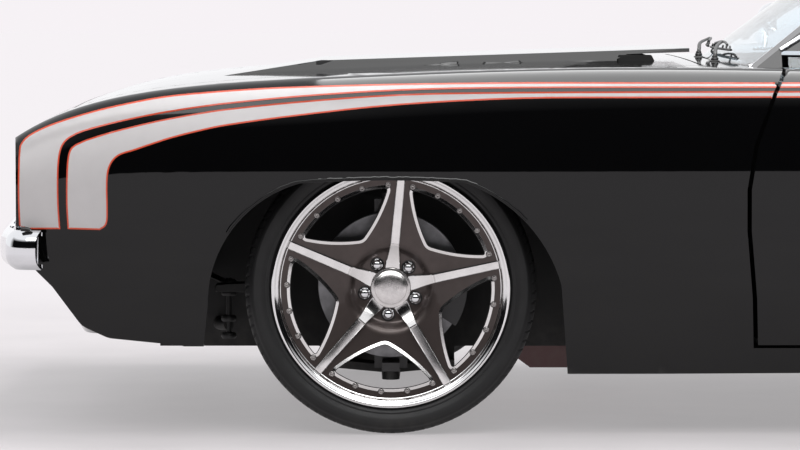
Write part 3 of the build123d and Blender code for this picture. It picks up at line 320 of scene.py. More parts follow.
class PaintShop:
    """Makes each finish's material once."""

    def __init__(self) -> None:
        """Starts with no material made."""
        self.groups = NodeGroups()
        self.made: dict[str, bpy.types.Material] = {}

    def material(self, finish: Finish) -> bpy.types.Material:
        """Returns a finish's material.

        Args:
            finish: The finish.

        Returns:
            Its material, made on the first call.
        """
        if finish.name not in self.made:
            self.made[finish.name] = self._make(finish)
        return self.made[finish.name]

    def _make(self, finish: Finish) -> bpy.types.Material:
        """Builds one material: a Principled shader fed by the shared groups.

        Args:
            finish: The finish.

        Returns:
            The material.
        """
        material = bpy.data.materials.new(finish.name)
        material.use_nodes = True
        tree = ShaderTree(material.node_tree)
        shader = material.node_tree.nodes["Principled BSDF"]
        constants = {
            "Metallic": finish.metallic, "Specular IOR Level": finish.specular, "Coat Weight": finish.coat,
            "Coat Roughness": 0.02, "Sheen Weight": finish.sheen, "Sheen Roughness": 0.4, "IOR": finish.ior,
            "Transmission Weight": finish.transmission,
        }
        for name, value in constants.items():
            shader.inputs[name].default_value = value
        mottle = tree.add("ShaderNodeGroup", node_tree=self.groups.mottle())
        given = {
            "Color": (*finish.color, 1.0), "Size": finish.mottle_size, "Amount": finish.mottle,
            "Roughness": finish.roughness, "Spread": finish.gloss_spread,
        }
        for name, value in given.items():
            mottle.inputs[name].default_value = value
        color, rough = mottle.outputs["Color"], mottle.outputs["Roughness"]
        if finish.dust:
            dust = tree.add("ShaderNodeGroup", node_tree=self.groups.dust())
            dust.inputs["Amount"].default_value = finish.dust
            dust.inputs["Top"].default_value = finish.dust_top
            tree.link(color, dust.inputs["Color"])
            tree.link(rough, dust.inputs["Roughness"])
            color, rough = dust.outputs["Color"], dust.outputs["Roughness"]
        tree.link(color, shader.inputs["Base Color"])
        tree.link(rough, shader.inputs["Roughness"])
        if finish.relief_depth:
            relief = tree.add("ShaderNodeGroup", node_tree=self.groups.relief(finish.relief))
            relief.inputs["Size"].default_value = finish.relief_size
            fine = {"Height": relief.outputs["Height"], "Distance": finish.relief_depth}
            bump = tree.add("ShaderNodeBump", fine)
            tree.link(bump.outputs[0], shader.inputs["Normal"])
        return material


class Finishes:
    """The car's finishes by name."""

    body = Finish("Body black", (0.0018, 0.0018, 0.0020), 0.045, specular=0.38, mottle=0.1,
                  gloss_spread=0.02, relief=Relief.PEEL, relief_size=0.006, relief_depth=0.00000035)
    silver = Finish("Stripe silver", (0.50, 0.485, 0.485), 0.46, 0.12, specular=0.3, coat=0.12, mottle=0.05,
                    mottle_size=0.05, relief_size=0.0006, relief_depth=0.00001)
    pinstripe = Finish("Pinstripe red", (0.56, 0.060, 0.020), 0.35, coat=0.15, mottle=0.1)
    chrome = Finish("Bright plate", (0.78, 0.79, 0.81), 0.045, 1.0, mottle=0.03, gloss_spread=0.03)
    polished = Finish("Polished alloy", (0.80, 0.79, 0.78), 0.13, 1.0, mottle=0.08, mottle_size=0.03,
                      gloss_spread=0.08, relief=Relief.BRUSHED, relief_size=0.0005, relief_depth=0.000003)
    rim_paint = Finish("Rim brown grey", (0.075, 0.060, 0.056), 0.34, 0.75, coat=0.25, mottle=0.12,
                       mottle_size=0.02, relief_size=0.0005, relief_depth=0.000004)
    lip = Finish("Polished lip", (0.82, 0.82, 0.82), 0.09, 1.0, mottle=0.05, mottle_size=0.05,
                 gloss_spread=0.05)
    cap = Finish("Brushed cap", (0.74, 0.72, 0.71), 0.24, 1.0, mottle=0.1, mottle_size=0.01,
                 gloss_spread=0.08, relief=Relief.BRUSHED, relief_size=0.0004, relief_depth=0.000004)
    barrel = Finish("Barrel alloy", (0.36, 0.36, 0.37), 0.28, 1.0, mottle=0.2, dust=0.25, dust_top=0.4)
    bolt = Finish("Bolt steel", (0.42, 0.40, 0.39), 0.25, 1.0, mottle=0.2, mottle_size=0.004)
    tyre = Finish("Tyre rubber", (0.0115, 0.0115, 0.012), 0.56, specular=0.35, mottle=0.25,
                  mottle_size=0.05, relief_size=0.0012, relief_depth=0.00006, dust=0.10, dust_top=0.05)
    disc = Finish("Brake disc iron", (0.30, 0.30, 0.31), 0.36, 1.0, mottle=0.25, mottle_size=0.02)
    caliper = Finish("Caliper black", (0.014, 0.014, 0.015), 0.32, coat=0.3, relief_size=0.001,
                     relief_depth=0.00004)
    red_chassis = Finish("Chassis dark red", (0.085, 0.008, 0.007), 0.36, coat=0.3, mottle=0.25, dust=0.15,
                         dust_top=0.3, relief_size=0.004, relief_depth=0.00006)
    under = Finish("Underbody coat", (0.014, 0.014, 0.014), 0.62, mottle=0.3, dust=0.22, dust_top=0.3,
                   relief_size=0.0025, relief_depth=0.00025)
    engine = Finish("Engine enamel", (0.20, 0.025, 0.018), 0.34, mottle=0.25, coat=0.2, relief_size=0.004,
                    relief_depth=0.0002)
    steel = Finish("Pipe steel", (0.34, 0.33, 0.32), 0.34, 1.0, mottle=0.4, mottle_size=0.12,
                   gloss_spread=0.2, dust=0.2)
    glass = Finish("Window glass", (0.80, 0.90, 0.95), 0.0, transmission=1.0, mottle=0.02, gloss_spread=0.0,
                   ior=1.45)
    lamp_glass = Finish("Lamp glass", (0.92, 0.94, 0.96), 0.02, transmission=1.0, mottle=0.02,
                        gloss_spread=0.0)
    red_lens = Finish("Red lens", (0.42, 0.006, 0.008), 0.08, transmission=0.35, coat=0.4, mottle=0.08)
    grille = Finish("Grille black", (0.012, 0.012, 0.012), 0.36, mottle=0.15, relief_size=0.001,
                    relief_depth=0.00003)
    leather = Finish("Cabin leather", (0.016, 0.014, 0.013), 0.44, sheen=0.08, mottle=0.25,
                     mottle_size=0.08, relief=Relief.LEATHER, relief_size=0.0032, relief_depth=0.00035)
    vinyl = Finish("Grained vinyl", (0.014, 0.014, 0.0145), 0.5, mottle=0.2, relief=Relief.LEATHER,
                   relief_size=0.0022, relief_depth=0.0002)
    carpet = Finish("Loop carpet", (0.016, 0.015, 0.015), 0.95, sheen=0.25, mottle=0.35, mottle_size=0.05,
                    relief=Relief.PILE, relief_size=0.0035, relief_depth=0.0015)
    rubber = Finish("Seal rubber", (0.008, 0.008, 0.008), 0.5, mottle=0.2, relief_depth=0.00002)
    white_dial = Finish("Dial face", (0.75, 0.75, 0.72), 0.5, mottle=0.05)


shop = PaintShop()


# Mesh helpers


def clean(data: bpy.types.Mesh) -> None:
    """Merges doubled points and turns the faces outwards.

    Args:
        data: The mesh.
    """
    work = bmesh.new()
    work.from_mesh(data)
    bmesh.ops.remove_doubles(work, verts=work.verts, dist=MERGE_GAP)
    bmesh.ops.recalc_face_normals(work, faces=work.faces)
    work.to_mesh(data)
    work.free()


def smooth_shade(data: bpy.types.Mesh, sharp: float) -> None:
    """Shades a mesh smoothly, but not across edges past an angle in degrees."""
    data.shade_smooth()
    data.set_sharp_from_angle(angle=math.radians(sharp))


def added(name: str, data: bpy.types.ID) -> bpy.types.Object:
    """Adds an object to the scene.

    Args:
        name: Its name.
        data: Its mesh, lamp or camera.

    Returns:
        The object.
    """
    thing = bpy.data.objects.new(name, data)
    bpy.context.scene.collection.objects.link(thing)
    return thing


def search_tree(data: bpy.types.Mesh) -> BVHTree:
    """Returns the tree that rays are cast at for a mesh."""
    return BVHTree.FromPolygons([v.co for v in data.vertices], [p.vertices[:] for p in data.polygons])


def seen_from_side(
    tree: BVHTree, side: float, x: float, z: float, start: float, reach: float
) -> tuple[Vector | None, Vector | None]:
    """Looks straight across the car from one side.

    Args:
        tree: What is looked at.
        side: 1 from the left and -1 from the right.
        x: The place along the car.
        z: The height.
        start: How far from the middle plane the look starts.
        reach: How far it goes.

    Returns:
        The place that is hit and its normal, or None for both.
    """
    return tree.ray_cast(Vector((x, side * start, z)), Vector((0.0, -side, 0.0)), reach)[:2]


def within(x: float, z: float, loop: Sequence[Point2]) -> bool:
    """Says whether a place lies inside an outline.

    Args:
        x: The place's first coordinate.
        z: Its second.
        loop: The outline.

    Returns:
        True inside it.
    """
    crossings = False
    for (ax, az), (bx, bz) in zip(loop, [*loop[1:], loop[0]]):
        if (az > z) != (bz > z) and x < (bx - ax) * (z - az) / (bz - az) + ax:
            crossings = not crossings
    return crossings


def stepped(loop: Sequence[Point2], step: float, least: float) -> list[Point2]:
    """Sets points at even steps along a closed outline.

    Args:
        loop: The outline.
        step: The wanted step.
        least: Sides up to this length are left out.

    Returns:
        The outline with its new points.
    """
    even = []
    for a, b in zip(loop, loop[1:] + loop[:1]):
        length = math.dist(a, b)
        if length > least:
            count = max(1, round(length / step))
            for i in range(count):
                even.append((a[0] + (b[0] - a[0]) * i / count, a[1] + (b[1] - a[1]) * i / count))
    return even


class Mesh:
    """Points and faces of one piece while it is made."""

    def __init__(self) -> None:
        """Starts empty."""
        self.points: list[Point3] = []
        self.faces: list[Face] = []

    def add(self, points: Iterable[Sequence[float]], faces: Iterable[Sequence[int]]) -> "Mesh":
        """Adds points and the faces between them.

        Args:
            points: The new points.
            faces: Faces that count from the first new point.

        Returns:
            The mesh itself.
        """
        base = len(self.points)
        self.points += [tuple(point) for point in points]
        self.faces += [tuple(base + index for index in face) for face in faces]
        return self

    def merge(self, other: "Mesh") -> "Mesh":
        """Adds another mesh and returns this one."""
        return self.add(other.points, other.faces)

    def moved(self, matrix: Matrix) -> "Mesh":
        """Returns a moved copy; faces are turned round where the matrix mirrors.

        Args:
            matrix: Where the copy goes.

        Returns:
            The copy.
        """
        flip = matrix.determinant() < 0
        faces = [face[::-1] for face in self.faces] if flip else self.faces
        return Mesh().add([matrix @ Vector(point) for point in self.points], faces)

    def grid(self, rows: Sequence[Row], closed: bool = False, looped: bool = False) -> "Mesh":
        """Adds a surface through rows of points.

        Args:
            rows: Rows with the same number of points.
            closed: Whether the last point of a row joins its first.
            looped: Whether the last row joins the first.

        Returns:
            The mesh itself.
        """
        count, width = len(rows), len(rows[0])
        faces = []
        for i in range(count if looped else count - 1):
            for j in range(width if closed else width - 1):
                a, b = i * width + j, i * width + (j + 1) % width
                k = (i + 1) % count
                faces.append((a, b, k * width + (j + 1) % width, k * width + j))
        return self.add([point for row in rows for point in row], faces)

    def cap(self, ring: Row) -> "Mesh":
        """Adds one flat face through a ring of points and returns the mesh."""
        return self.add(ring, [tuple(range(len(ring)))])

    def solid(self, rows: Sequence[Row]) -> "Mesh":
        """Adds a surface through rings of points, closed at both ends, and returns the mesh."""
        return self.grid(rows, closed=True).cap(rows[0][::-1]).cap(rows[-1])

    def piece(
        self, name: str, finish: Finish, body: str, slot: str, sharp: float = 35.0, recalculate: bool = True
    ) -> bpy.types.Object:
        """Makes the scene object, dressed and riding on its body.

        Args:
            name: The piece's name.
            finish: Its finish.
            body: The body that carries it.
            slot: The record's material slot; not used.
            sharp: The angle in degrees past which an edge stays sharp.
            recalculate: Whether doubled points are merged and the faces turned outwards.

        Returns:
            The object.
        """
        data = bpy.data.meshes.new(name)
        data.from_pydata(self.points, [], self.faces)
        if recalculate:
            clean(data)
        smooth_shade(data, sharp)
        data.materials.append(shop.material(finish))
        piece = added(name, data)
        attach(piece, body)
        log.info("made %s", name)
        return piece


def lathe(profile: Sequence[Point2], count: int, closed: bool = True, start: float = 0.0) -> Mesh:
    """Turns a profile about the Y axis.

    Args:
        profile: Points of (radius, y).
        count: How many steps make the turn.
        closed: Whether the profile's last point joins its first.
        start: The first step's angle in radians.

    Returns:
        The turned mesh.
    """
    rows = []
    for i in range(count):
        angle = start + math.tau * i / count
        rows.append([(r * math.sin(angle), y, r * math.cos(angle)) for r, y in profile])
    return Mesh().grid(rows, closed=closed, looped=True)


def tube(path: Row, radius: float, sides: int = 12, squash: float = 1.0) -> Mesh:
    """Draws a round bar along a path, with flat ends.

    Args:
        path: The middle line's points.
        radius: The bar's radius.
        sides: How many sides it has.
        squash: Its second radius as a share of the first.

    Returns:
        The bar's mesh.
    """
    points = [Vector(point) for point in path]
    up = Vector((0.0, 0.0, 1.0))
    rows = []
    for i, point in enumerate(points):
        ahead = (points[min(i + 1, len(points) - 1)] - points[max(i - 1, 0)]).normalized()
        if abs(ahead.dot(up)) > 0.95:
            up = Vector((1.0, 0.0, 0.0))
        side = ahead.cross(up).normalized()
        over = side.cross(ahead).normalized()
        ring = []
        for j in range(sides):
            angle = math.tau * j / sides
            across, high = radius * math.cos(angle), radius * squash * math.sin(angle)
            ring.append(point + side * across + over * high)
        rows.append(ring)
    return Mesh().solid(rows)


def smooth_path(points: Row, steps: int = 8) -> list[Vector]:
    """Draws a smooth curve through a few points.

    Args:
        points: The points.
        steps: How many pieces each stretch gets.

    Returns:
        The curve's points.
    """
    knots = [Vector(point) for point in points]
    knots = [knots[0] * 2 - knots[1], *knots, knots[-1] * 2 - knots[-2]]
    curve = []
    for a, b, c, d in zip(knots, knots[1:], knots[2:], knots[3:]):
        for step in range(steps):
            t = step / steps
            square = (a * 2 - b * 5 + c * 4 - d) * t * t
            cube = (b * 3 - a - c * 3 + d) * t**3
            curve.append(0.5 * ((b * 2) + (c - a) * t + square + cube))
    return [*curve, knots[-2]]


def rounded(corners: Sequence[Point2], radius: float, steps: int = 5) -> list[Point2]:
    """Rounds the corners of an outline.

    Args:
        corners: The outline's corners in order.
        radius: The rounding radius, less where a side is short.
        steps: Points along each rounding.

    Returns:
        The rounded outline.
    """
    outline = []
    for i, corner in enumerate(corners):
        here = Vector(corner)
        before, after = Vector(corners[i - 1]) - here, Vector(corners[(i + 1) % len(corners)]) - here
        half = before.angle(after) / 2
        reach = min(radius / math.tan(half), before.length * 0.45, after.length * 0.45)
        start, end = here + before.normalized() * reach, here + after.normalized() * reach
        for step in range(steps + 1):
            t = step / steps
            outline.append(tuple(start * (1 - t) ** 2 + here * (2 * t * (1 - t)) + end * t * t))
    return outline


def block(
    outline: Sequence[Point2], low: float, high: float, place: Callable[[float, float, float], Point3],
    bevel: float = 0.0,
) -> Mesh:
    """Makes a solid from a flat outline.

    Args:
        outline: The outline's points.
        low: Where the solid starts across the outline.
        high: Where it ends.
        place: Puts (first, second, across) into the car's frame.
        bevel: The width of the bevel at both faces.

    Returns:
        The solid's mesh.
    """
    middle = Vector((0.0, 0.0))
    for point in outline:
        middle += Vector(point) / len(outline)

    def inset(point: Point2) -> Point2:
        """Returns a point moved inwards by the bevel."""
        reach = (middle - Vector(point)).normalized() * bevel
        return point[0] + reach.x, point[1] + reach.y

    levels = [(low, bool(bevel)), (low + bevel, False), (high - bevel, False), (high, bool(bevel))]
    rows = []
    for across, drawn_in in levels:
        rows.append([place(*(inset(point) if drawn_in else point), across) for point in outline])
    return Mesh().solid(rows)


def filled(
    outer: Sequence[Point2], holes: Sequence[Sequence[Point2]], inside: Sequence[Point2],
    keep: Callable[[float, float], bool],
) -> tuple[list[Point2], list[Face]]:
    """Fills a flat outline with triangles.

    Args:
        outer: The outer outline.
        holes: The outlines of the holes.
        inside: More points to use between them.
        keep: Whether a triangle with its middle at a place is wanted.

    Returns:
        The flat points and the triangles.
    """
    points, edges = [], []
    for loop in (outer, *holes):
        base = len(points)
        points += [Vector(point) for point in loop]
        edges += [(base + i, base + (i + 1) % len(loop)) for i in range(len(loop))]
    points += [Vector(point) for point in inside]
    flat, _, faces, *_ = delaunay_2d_cdt(points, edges, [], 0, 1e-7)
    kept = []
    for face in faces:
        x = sum(flat[i].x for i in face) / len(face)
        y = sum(flat[i].y for i in face) / len(face)
        if keep(x, y):
            kept.append(tuple(face))
    return [tuple(point) for point in flat], kept


# Body


def natural_spline(knots: np.ndarray, values: np.ndarray, at: np.ndarray) -> np.ndarray:
    """Draws the smoothest curve through some values.

    Args:
        knots: Where the values are, in rising order.
        values: One row of values for each knot.
        at: Where the curve is wanted.

    Returns:
        One row for each wanted place.
    """
    count = len(knots)
    step = np.diff(knots)
    matrix = np.eye(count)
    right = np.zeros_like(values)
    for i in range(1, count - 1):
        matrix[i, i - 1:i + 2] = step[i - 1], 2 * (step[i - 1] + step[i]), step[i]
        right[i] = 6 * ((values[i + 1] - values[i]) / step[i] - (values[i] - values[i - 1]) / step[i - 1])
    bend = np.linalg.solve(matrix, right)
    i = np.clip(np.searchsorted(knots, at) - 1, 0, count - 2)
    h = step[i][:, None]
    a, b = (knots[i + 1] - at)[:, None], (at - knots[i])[:, None]
    cubic = (bend[i] * a**3 + bend[i + 1] * b**3) / (6 * h)
    return cubic + (values[i] / h - bend[i] * h / 6) * a + (values[i + 1] / h - bend[i + 1] * h / 6) * b


@dataclass
class BodyShape:
    """The body's smooth outer surface, drawn through cross sections; it gives the panels their shading."""

    wheelbase: float = 2.745
    front_axle: float = 1.437
    # Distance from an axle, then half width and height of sill, crease, shoulder and crest, then the height
    # at the middle of the car
    ahead: tuple[tuple[float, ...], ...] = (
        (-0.837, 0.850, 0.141, 0.930, 0.598, 0.905, 0.776, 0.850, 0.832, 0.837),
        (0.0, 0.850, 0.141, 0.940, 0.598, 0.914, 0.764, 0.862, 0.820, 0.824),
        (0.413, 0.845, 0.141, 0.933, 0.596, 0.910, 0.740, 0.858, 0.796, 0.800),
        (0.713, 0.830, 0.150, 0.915, 0.580, 0.896, 0.694, 0.850, 0.742, 0.747),
        (0.893, 0.800, 0.180, 0.884, 0.560, 0.866, 0.606, 0.822, 0.644, 0.652),
    )
    behind: tuple[tuple[float, ...], ...] = (
        (-1.022, 0.815, 0.200, 0.882, 0.578, 0.856, 0.766, 0.790, 0.818, 0.830),
        (-0.592, 0.840, 0.150, 0.916, 0.592, 0.892, 0.792, 0.822, 0.850, 0.864),
        (0.0, 0.850, 0.141, 0.940, 0.600, 0.914, 0.806, 0.850, 0.866, 0.880),
        (1.008, 0.850, 0.141, 0.926, 0.598, 0.900, 0.780, 0.842, 0.838, 0.846),
    )
    bulges: tuple[float, float, float] = (0.016, 0.005, 0.013)
    row_step: float = 0.012
    overrun: float = 0.06
    arc_steps: int = 14
    soften: tuple[float, float, float] = (0.002, 0.030, 0.034)
    tree: BVHTree = field(init=False)
    points: list[Vector] = field(init=False)
    normals: list[Vector] = field(init=False)
    faces: list[Face] = field(init=False)

    def __post_init__(self) -> None:
        """Builds the surface grid, its softened normals and the search tree."""
        rear_axle = self.front_axle - self.wheelbase
        rows = [(rear_axle + s[0], *s[1:]) for s in self.behind]
        rows += [(self.front_axle + s[0], *s[1:]) for s in self.ahead]
        table = np.array(rows)
        places = np.arange(table[0, 0] - self.overrun, table[-1, 0] + self.overrun, self.row_step)
        sizes = natural_spline(table[:, 0], table[:, 1:], places)
        grid = [self.section(x, size) for x, size in zip(places, sizes)]
        width = len(grid[0])
        self.points = [point for row in grid for point in row]
        self.faces = []
        for i in range(len(grid) - 1):
            for j in range(width - 1):
                a, b = i * width + j, (i + 1) * width + j
                self.faces += [(a, a + 1, b + 1), (a, b + 1, b)]
        self.normals = self._normals(grid)
        self.tree = BVHTree.FromPolygons(self.points, self.faces)

    def section(self, x: float, size: Sequence[float]) -> list[Vector]:
        """Draws the left half of one cross section.

        Args:
            x: Where the section is.
            size: Half width and height of its corners, and the height at the middle.

        Returns:
            Points from the sill over the crest to the middle of the car.
        """
        corners = [(size[0], size[1]), (size[2], size[3]), (size[4], size[5]), (size[6], size[7])]
        outline = []
        for (y0, z0), (y1, z1), bulge in zip(corners, corners[1:], self.bulges):
            length = math.hypot(y1 - y0, z1 - z0)
            for step in range(self.arc_steps):
                t = step / self.arc_steps
                out = 4 * bulge * t * (1 - t) / length
                y = y0 + (y1 - y0) * t + out * (z1 - z0)
                z = z0 + (z1 - z0) * t - out * (y1 - y0)
                outline.append(Vector((x, y, z)))
        crest_y, crest_z = corners[3]
        rise = size[8] - crest_z
        for step in range(3 * self.arc_steps + 1):
            t = step / (3 * self.arc_steps)
            outline.append(Vector((x, crest_y * (1 - t), crest_z + rise * (1 - (1 - t) ** 2))))
        return outline

    def _normals(self, grid: list[list[Vector]]) -> list[Vector]:
        """Works out one outward normal for each grid point, softened across the shoulder and the crest.

        Args:
            grid: Rows of section points.

        Returns:
            The normals in the order of the points.
        """
        data = np.array([[tuple(point) for point in row] for row in grid])
        along = np.gradient(data, axis=0)
        across = np.diff(data, axis=1)
        lengths = np.linalg.norm(across, axis=2)
        place = np.concatenate([np.zeros((len(grid), 1)), np.cumsum(lengths, axis=1)], axis=1)
        corner_index = [self.arc_steps * k for k in (1, 2, 3)]
        width = data.shape[1]
        normals = np.zeros_like(data)
        for j in range(width):
            reach = np.full(len(grid), 0.001)
            for index, soft in zip(corner_index, self.soften):
                gap = np.abs(place[:, j] - place[:, index])
                reach = np.maximum(reach, soft - gap * 0.35)
            low, high = place[:, j] - reach, place[:, j] + reach
            share = np.clip(
                np.minimum(place[:, 1:], high[:, None]) - np.maximum(place[:, :-1], low[:, None]), 0, None
            ) / np.maximum(lengths, 1e-9)
            tangent = (across * share[:, :, None]).sum(axis=1)
            cross = np.cross(along[:, j], tangent)
            normals[:, j] = -cross / np.linalg.norm(cross, axis=1)[:, None]
        outward = np.sign(normals[:, :, 1:].sum(axis=2, keepdims=True))
        return [Vector(normal) for normal in (normals * outward).reshape(-1, 3)]

    def normal_at(self, place: Vector, reach: float) -> Vector | None:
        """Finds the surface's normal near a place on either side of the car.

        Args:
            place: The place.
            reach: How far the surface may be.

        Returns:
            The normal, or None where the surface is out of reach.
        """
        side = -1.0 if place.y < 0 else 1.0
        found, _, index, gap = self.tree.find_nearest(Vector((place.x, abs(place.y), place.z)))
        if found is None or gap > reach:
            return None
        corners = [self.points[i] for i in self.faces[index]]
        normals = [self.normals[i] for i in self.faces[index]]
        normal = barycentric_transform(found, *corners, *normals).normalized()
        return Vector((normal.x, normal.y * side, normal.z))


class Panels:
    """The painted body panels: copies of the model's panels with the body's smooth shading."""

    names: tuple[str, ...] = (
        "front_fender_left", "front_fender_right", "door_left", "door_right", "quarter_panel_left",
        "quarter_panel_right", "hood", "nose_panel", "boot_lid", "deck_filler_panel", "cowl_panel",
    )
    reach: float = 0.007
    agree: float = 0.88
    cut_x: float = 0.05
    cut_z: float = 0.014
    cut_y: float = 0.06
    # Cuts across the car stay between the two flanks, and level cuts start above this height
    cut_flank: float = 0.64
    cut_floor: float = 0.58
    sharp: float = 24.0
    # Each leg's lower edge, and the stretch along the car that it lies in
    legs: dict[str, tuple[float, float, float]] = {
        "front_fender": (0.2035, 1.80, 1.97), "quarter_panel": (0.1915, -1.810, -1.640)
    }

    def __init__(self, shape: BodyShape) -> None:
        """Keeps the body's smooth surface."""
        self.shape = shape

    def build(self) -> None:
        """Replaces each panel by its smoothly shaded copy."""
        for name in self.names:
            node = frame["nodes"][name]
            data = bpy.data.meshes.new(f"{name}_shell")
            work = bmesh.new()
            work.from_mesh(node.data)
            bmesh.ops.remove_doubles(work, verts=work.verts, dist=MERGE_GAP)
            self.cut(work, *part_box(name))
            for start, (low, rear, front) in self.legs.items():
                if name.startswith(start):
                    self.trim_leg(work, low, rear, front)
            work.to_mesh(data)
            work.free()
            smooth_shade(data, self.sharp)
            data.materials.append(shop.material(Finishes.body))
            piece = added(f"{name}_shell", data)
            self.shade(data)
            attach(piece, body_of(node)[0])
            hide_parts(name)
        log.info("shaded %d panels", len(self.names))

    def cut(self, work: bmesh.types.BMesh, low: Sequence[float], high: Sequence[float]) -> None:
        """Cuts long triangles so that the shading follows the curves.

        Args:
            work: The panel.
            low: Its lowest corner.
            high: Its highest corner.
        """
        spans = (
            (0, self.cut_x, low[0]), (1, self.cut_y, max(low[1], -self.cut_flank)),
            (2, self.cut_z, max(low[2], self.cut_floor)),
        )
        for axis, step, start in spans:
            end = min(high[axis], self.cut_flank) if axis == 1 else high[axis]
            normal = [0.0, 0.0, 0.0]
            normal[axis] = 1.0
            for i in range(1, int((end - start) / step) + 1):
                place = [0.0, 0.0, 0.0]
                place[axis] = start + i * step
                geometry = [*work.verts, *work.edges, *work.faces]
                bmesh.ops.bisect_plane(work, geom=geometry, plane_co=place, plane_no=normal, dist=MERGE_GAP)

    def trim_leg(self, work: bmesh.types.BMesh, edge: float, rear: float, front: float) -> None:
        """Ends a panel's leg beside the wheel level with its lower edge.

        Args:
            work: The panel.
            edge: The height where the leg ends.
            rear: Where the leg's stretch starts.
            front: Where it ends.
        """
        geometry = [*work.verts, *work.edges, *work.faces]
        low, up = (0.0, 0.0, edge), (0.0, 0.0, 1.0)
        bmesh.ops.bisect_plane(work, geom=geometry, plane_co=low, plane_no=up, dist=MERGE_GAP)
        gone = []
        for face in work.faces:
            middle = face.calc_center_median()
            if middle.z < edge and rear < middle.x < front:
                gone.append(face)
        bmesh.ops.delete(work, geom=gone, context="FACES")
        bmesh.ops.holes_fill(work, edges=[side for side in work.edges if side.is_boundary], sides=0)

    def shade(self, data: bpy.types.Mesh) -> None:
        """Gives the corners that lie on the body's surface that surface's normal.

        Args:
            data: The panel's mesh.
        """
        normals = [Vector(corner.vector) for corner in data.corner_normals]
        cache: dict[int, Vector | None] = {}
        for i, loop in enumerate(data.loops):
            index = loop.vertex_index
            if index not in cache:
                cache[index] = self.shape.normal_at(data.vertices[index].co, self.reach)
            smooth = cache[index]
            if smooth is not None and smooth.dot(normals[i]) > self.agree:
                normals[i] = smooth
        data.normals_split_custom_set(normals)


# Repeats


class Repeater:
    """Sets copies of a small item on marked places through Geometry Nodes."""

    def __init__(self) -> None:
        """Builds the node tree once."""
        tree = bpy.data.node_groups.new("Set out copies", "GeometryNodeTree")
        new_socket = tree.interface.new_socket
        new_socket("Geometry", in_out="INPUT", socket_type="NodeSocketGeometry")
        sockets = {
            "Item": "NodeSocketObject", "Size": "NodeSocketFloat", "Turn spread": "NodeSocketFloat",
            "Seed": "NodeSocketInt", "Finish": "NodeSocketMaterial",
        }
        self.inputs: dict[str, str] = {}
        for name, kind in sockets.items():
            self.inputs[name] = new_socket(name, in_out="INPUT", socket_type=kind).identifier
        new_socket("Geometry", in_out="OUTPUT", socket_type="NodeSocketGeometry")
        nodes = ShaderTree(tree)
        given = nodes.add("NodeGroupInput")
        item = nodes.add("GeometryNodeObjectInfo", {"Object": given.outputs["Item"]})
        turn = nodes.add("GeometryNodeInputNamedAttribute", {"Name": "turn"}, data_type="FLOAT_VECTOR")
        rotation = nodes.add("FunctionNodeEulerToRotation", {"Euler": turn.outputs[0]})
        chance = nodes.add("FunctionNodeRandomValue", {"Seed": given.outputs["Seed"]}, data_type="FLOAT")
        spin = nodes.math("MULTIPLY", chance.outputs[1], given.outputs["Turn spread"])
        local = nodes.add("ShaderNodeCombineXYZ", {"Z": spin})
        own = nodes.add("FunctionNodeEulerToRotation", {"Euler": local.outputs[0]})
        turns = {"Rotation": rotation.outputs[0], "Rotate By": own.outputs[0]}
        both = nodes.add("FunctionNodeRotateRotation", turns, rotation_space="LOCAL")
        placed = nodes.add("GeometryNodeInstanceOnPoints", {
            "Points": given.outputs["Geometry"], "Instance": item.outputs["Geometry"],
            "Rotation": both.outputs[0], "Scale": given.outputs["Size"],
        })
        real = nodes.add("GeometryNodeRealizeInstances", {"Geometry": placed.outputs[0]})
        coat = {"Geometry": real.outputs[0], "Material": given.outputs["Finish"]}
        dressed = nodes.add("GeometryNodeSetMaterial", coat)
        nodes.add("NodeGroupOutput", {"Geometry": dressed.outputs[0]})
        self.tree = tree

    def set_out(
        self, name: str, item: Mesh, places: Sequence[tuple[Sequence[float], Sequence[float]]],
        finish: Finish, body: str, spread: float = 0.0, seed: int = 1, sharp: float = 30.0,
    ) -> bpy.types.Object:
        """Makes one piece from many copies of an item.

        Args:
            name: The piece's name.
            item: The item, standing along its own Z.
            places: A place and a direction for each copy's Z.
            finish: The finish.
            body: The body that carries it.
            spread: How far each copy is turned by chance about its own Z, in radians.
            seed: The seed of that chance.
            sharp: The angle in degrees past which an edge stays sharp.

        Returns:
            The piece.
        """
        item_data = bpy.data.meshes.new("item")
        item_data.from_pydata(item.points, [], item.faces)
        clean(item_data)
        smooth_shade(item_data, sharp)
        source = bpy.data.objects.new("item", item_data)
        cloud = bpy.data.meshes.new("places")
        cloud.from_pydata([tuple(place) for place, _ in places], [], [])
        turns = cloud.attributes.new("turn", "FLOAT_VECTOR", "POINT")
        for i, (_, direction) in enumerate(places):
            turns.data[i].vector = Vector(direction).to_track_quat("Z", "Y").to_euler()
        carrier = added("carrier", cloud)
        bpy.context.scene.collection.objects.link(source)
        modifier = carrier.modifiers.new("copies", "NODES")
        modifier.node_group = self.tree
        values = {
            "Item": source, "Size": 1.0, "Turn spread": spread, "Seed": seed, "Finish": shop.material(finish),
        }
        for key, value in values.items():
            modifier[self.inputs[key]] = value
        graph = bpy.context.evaluated_depsgraph_get()
        data = bpy.data.meshes.new_from_object(carrier.evaluated_get(graph))
        carrier.modifiers.remove(modifier)
        bpy.data.objects.remove(carrier)
        bpy.data.objects.remove(source)
        data.name = name
        piece = added(name, data)
        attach(piece, body)
        log.info("set out %d copies as %s", len(places), name)
        return piece


repeater = Repeater()


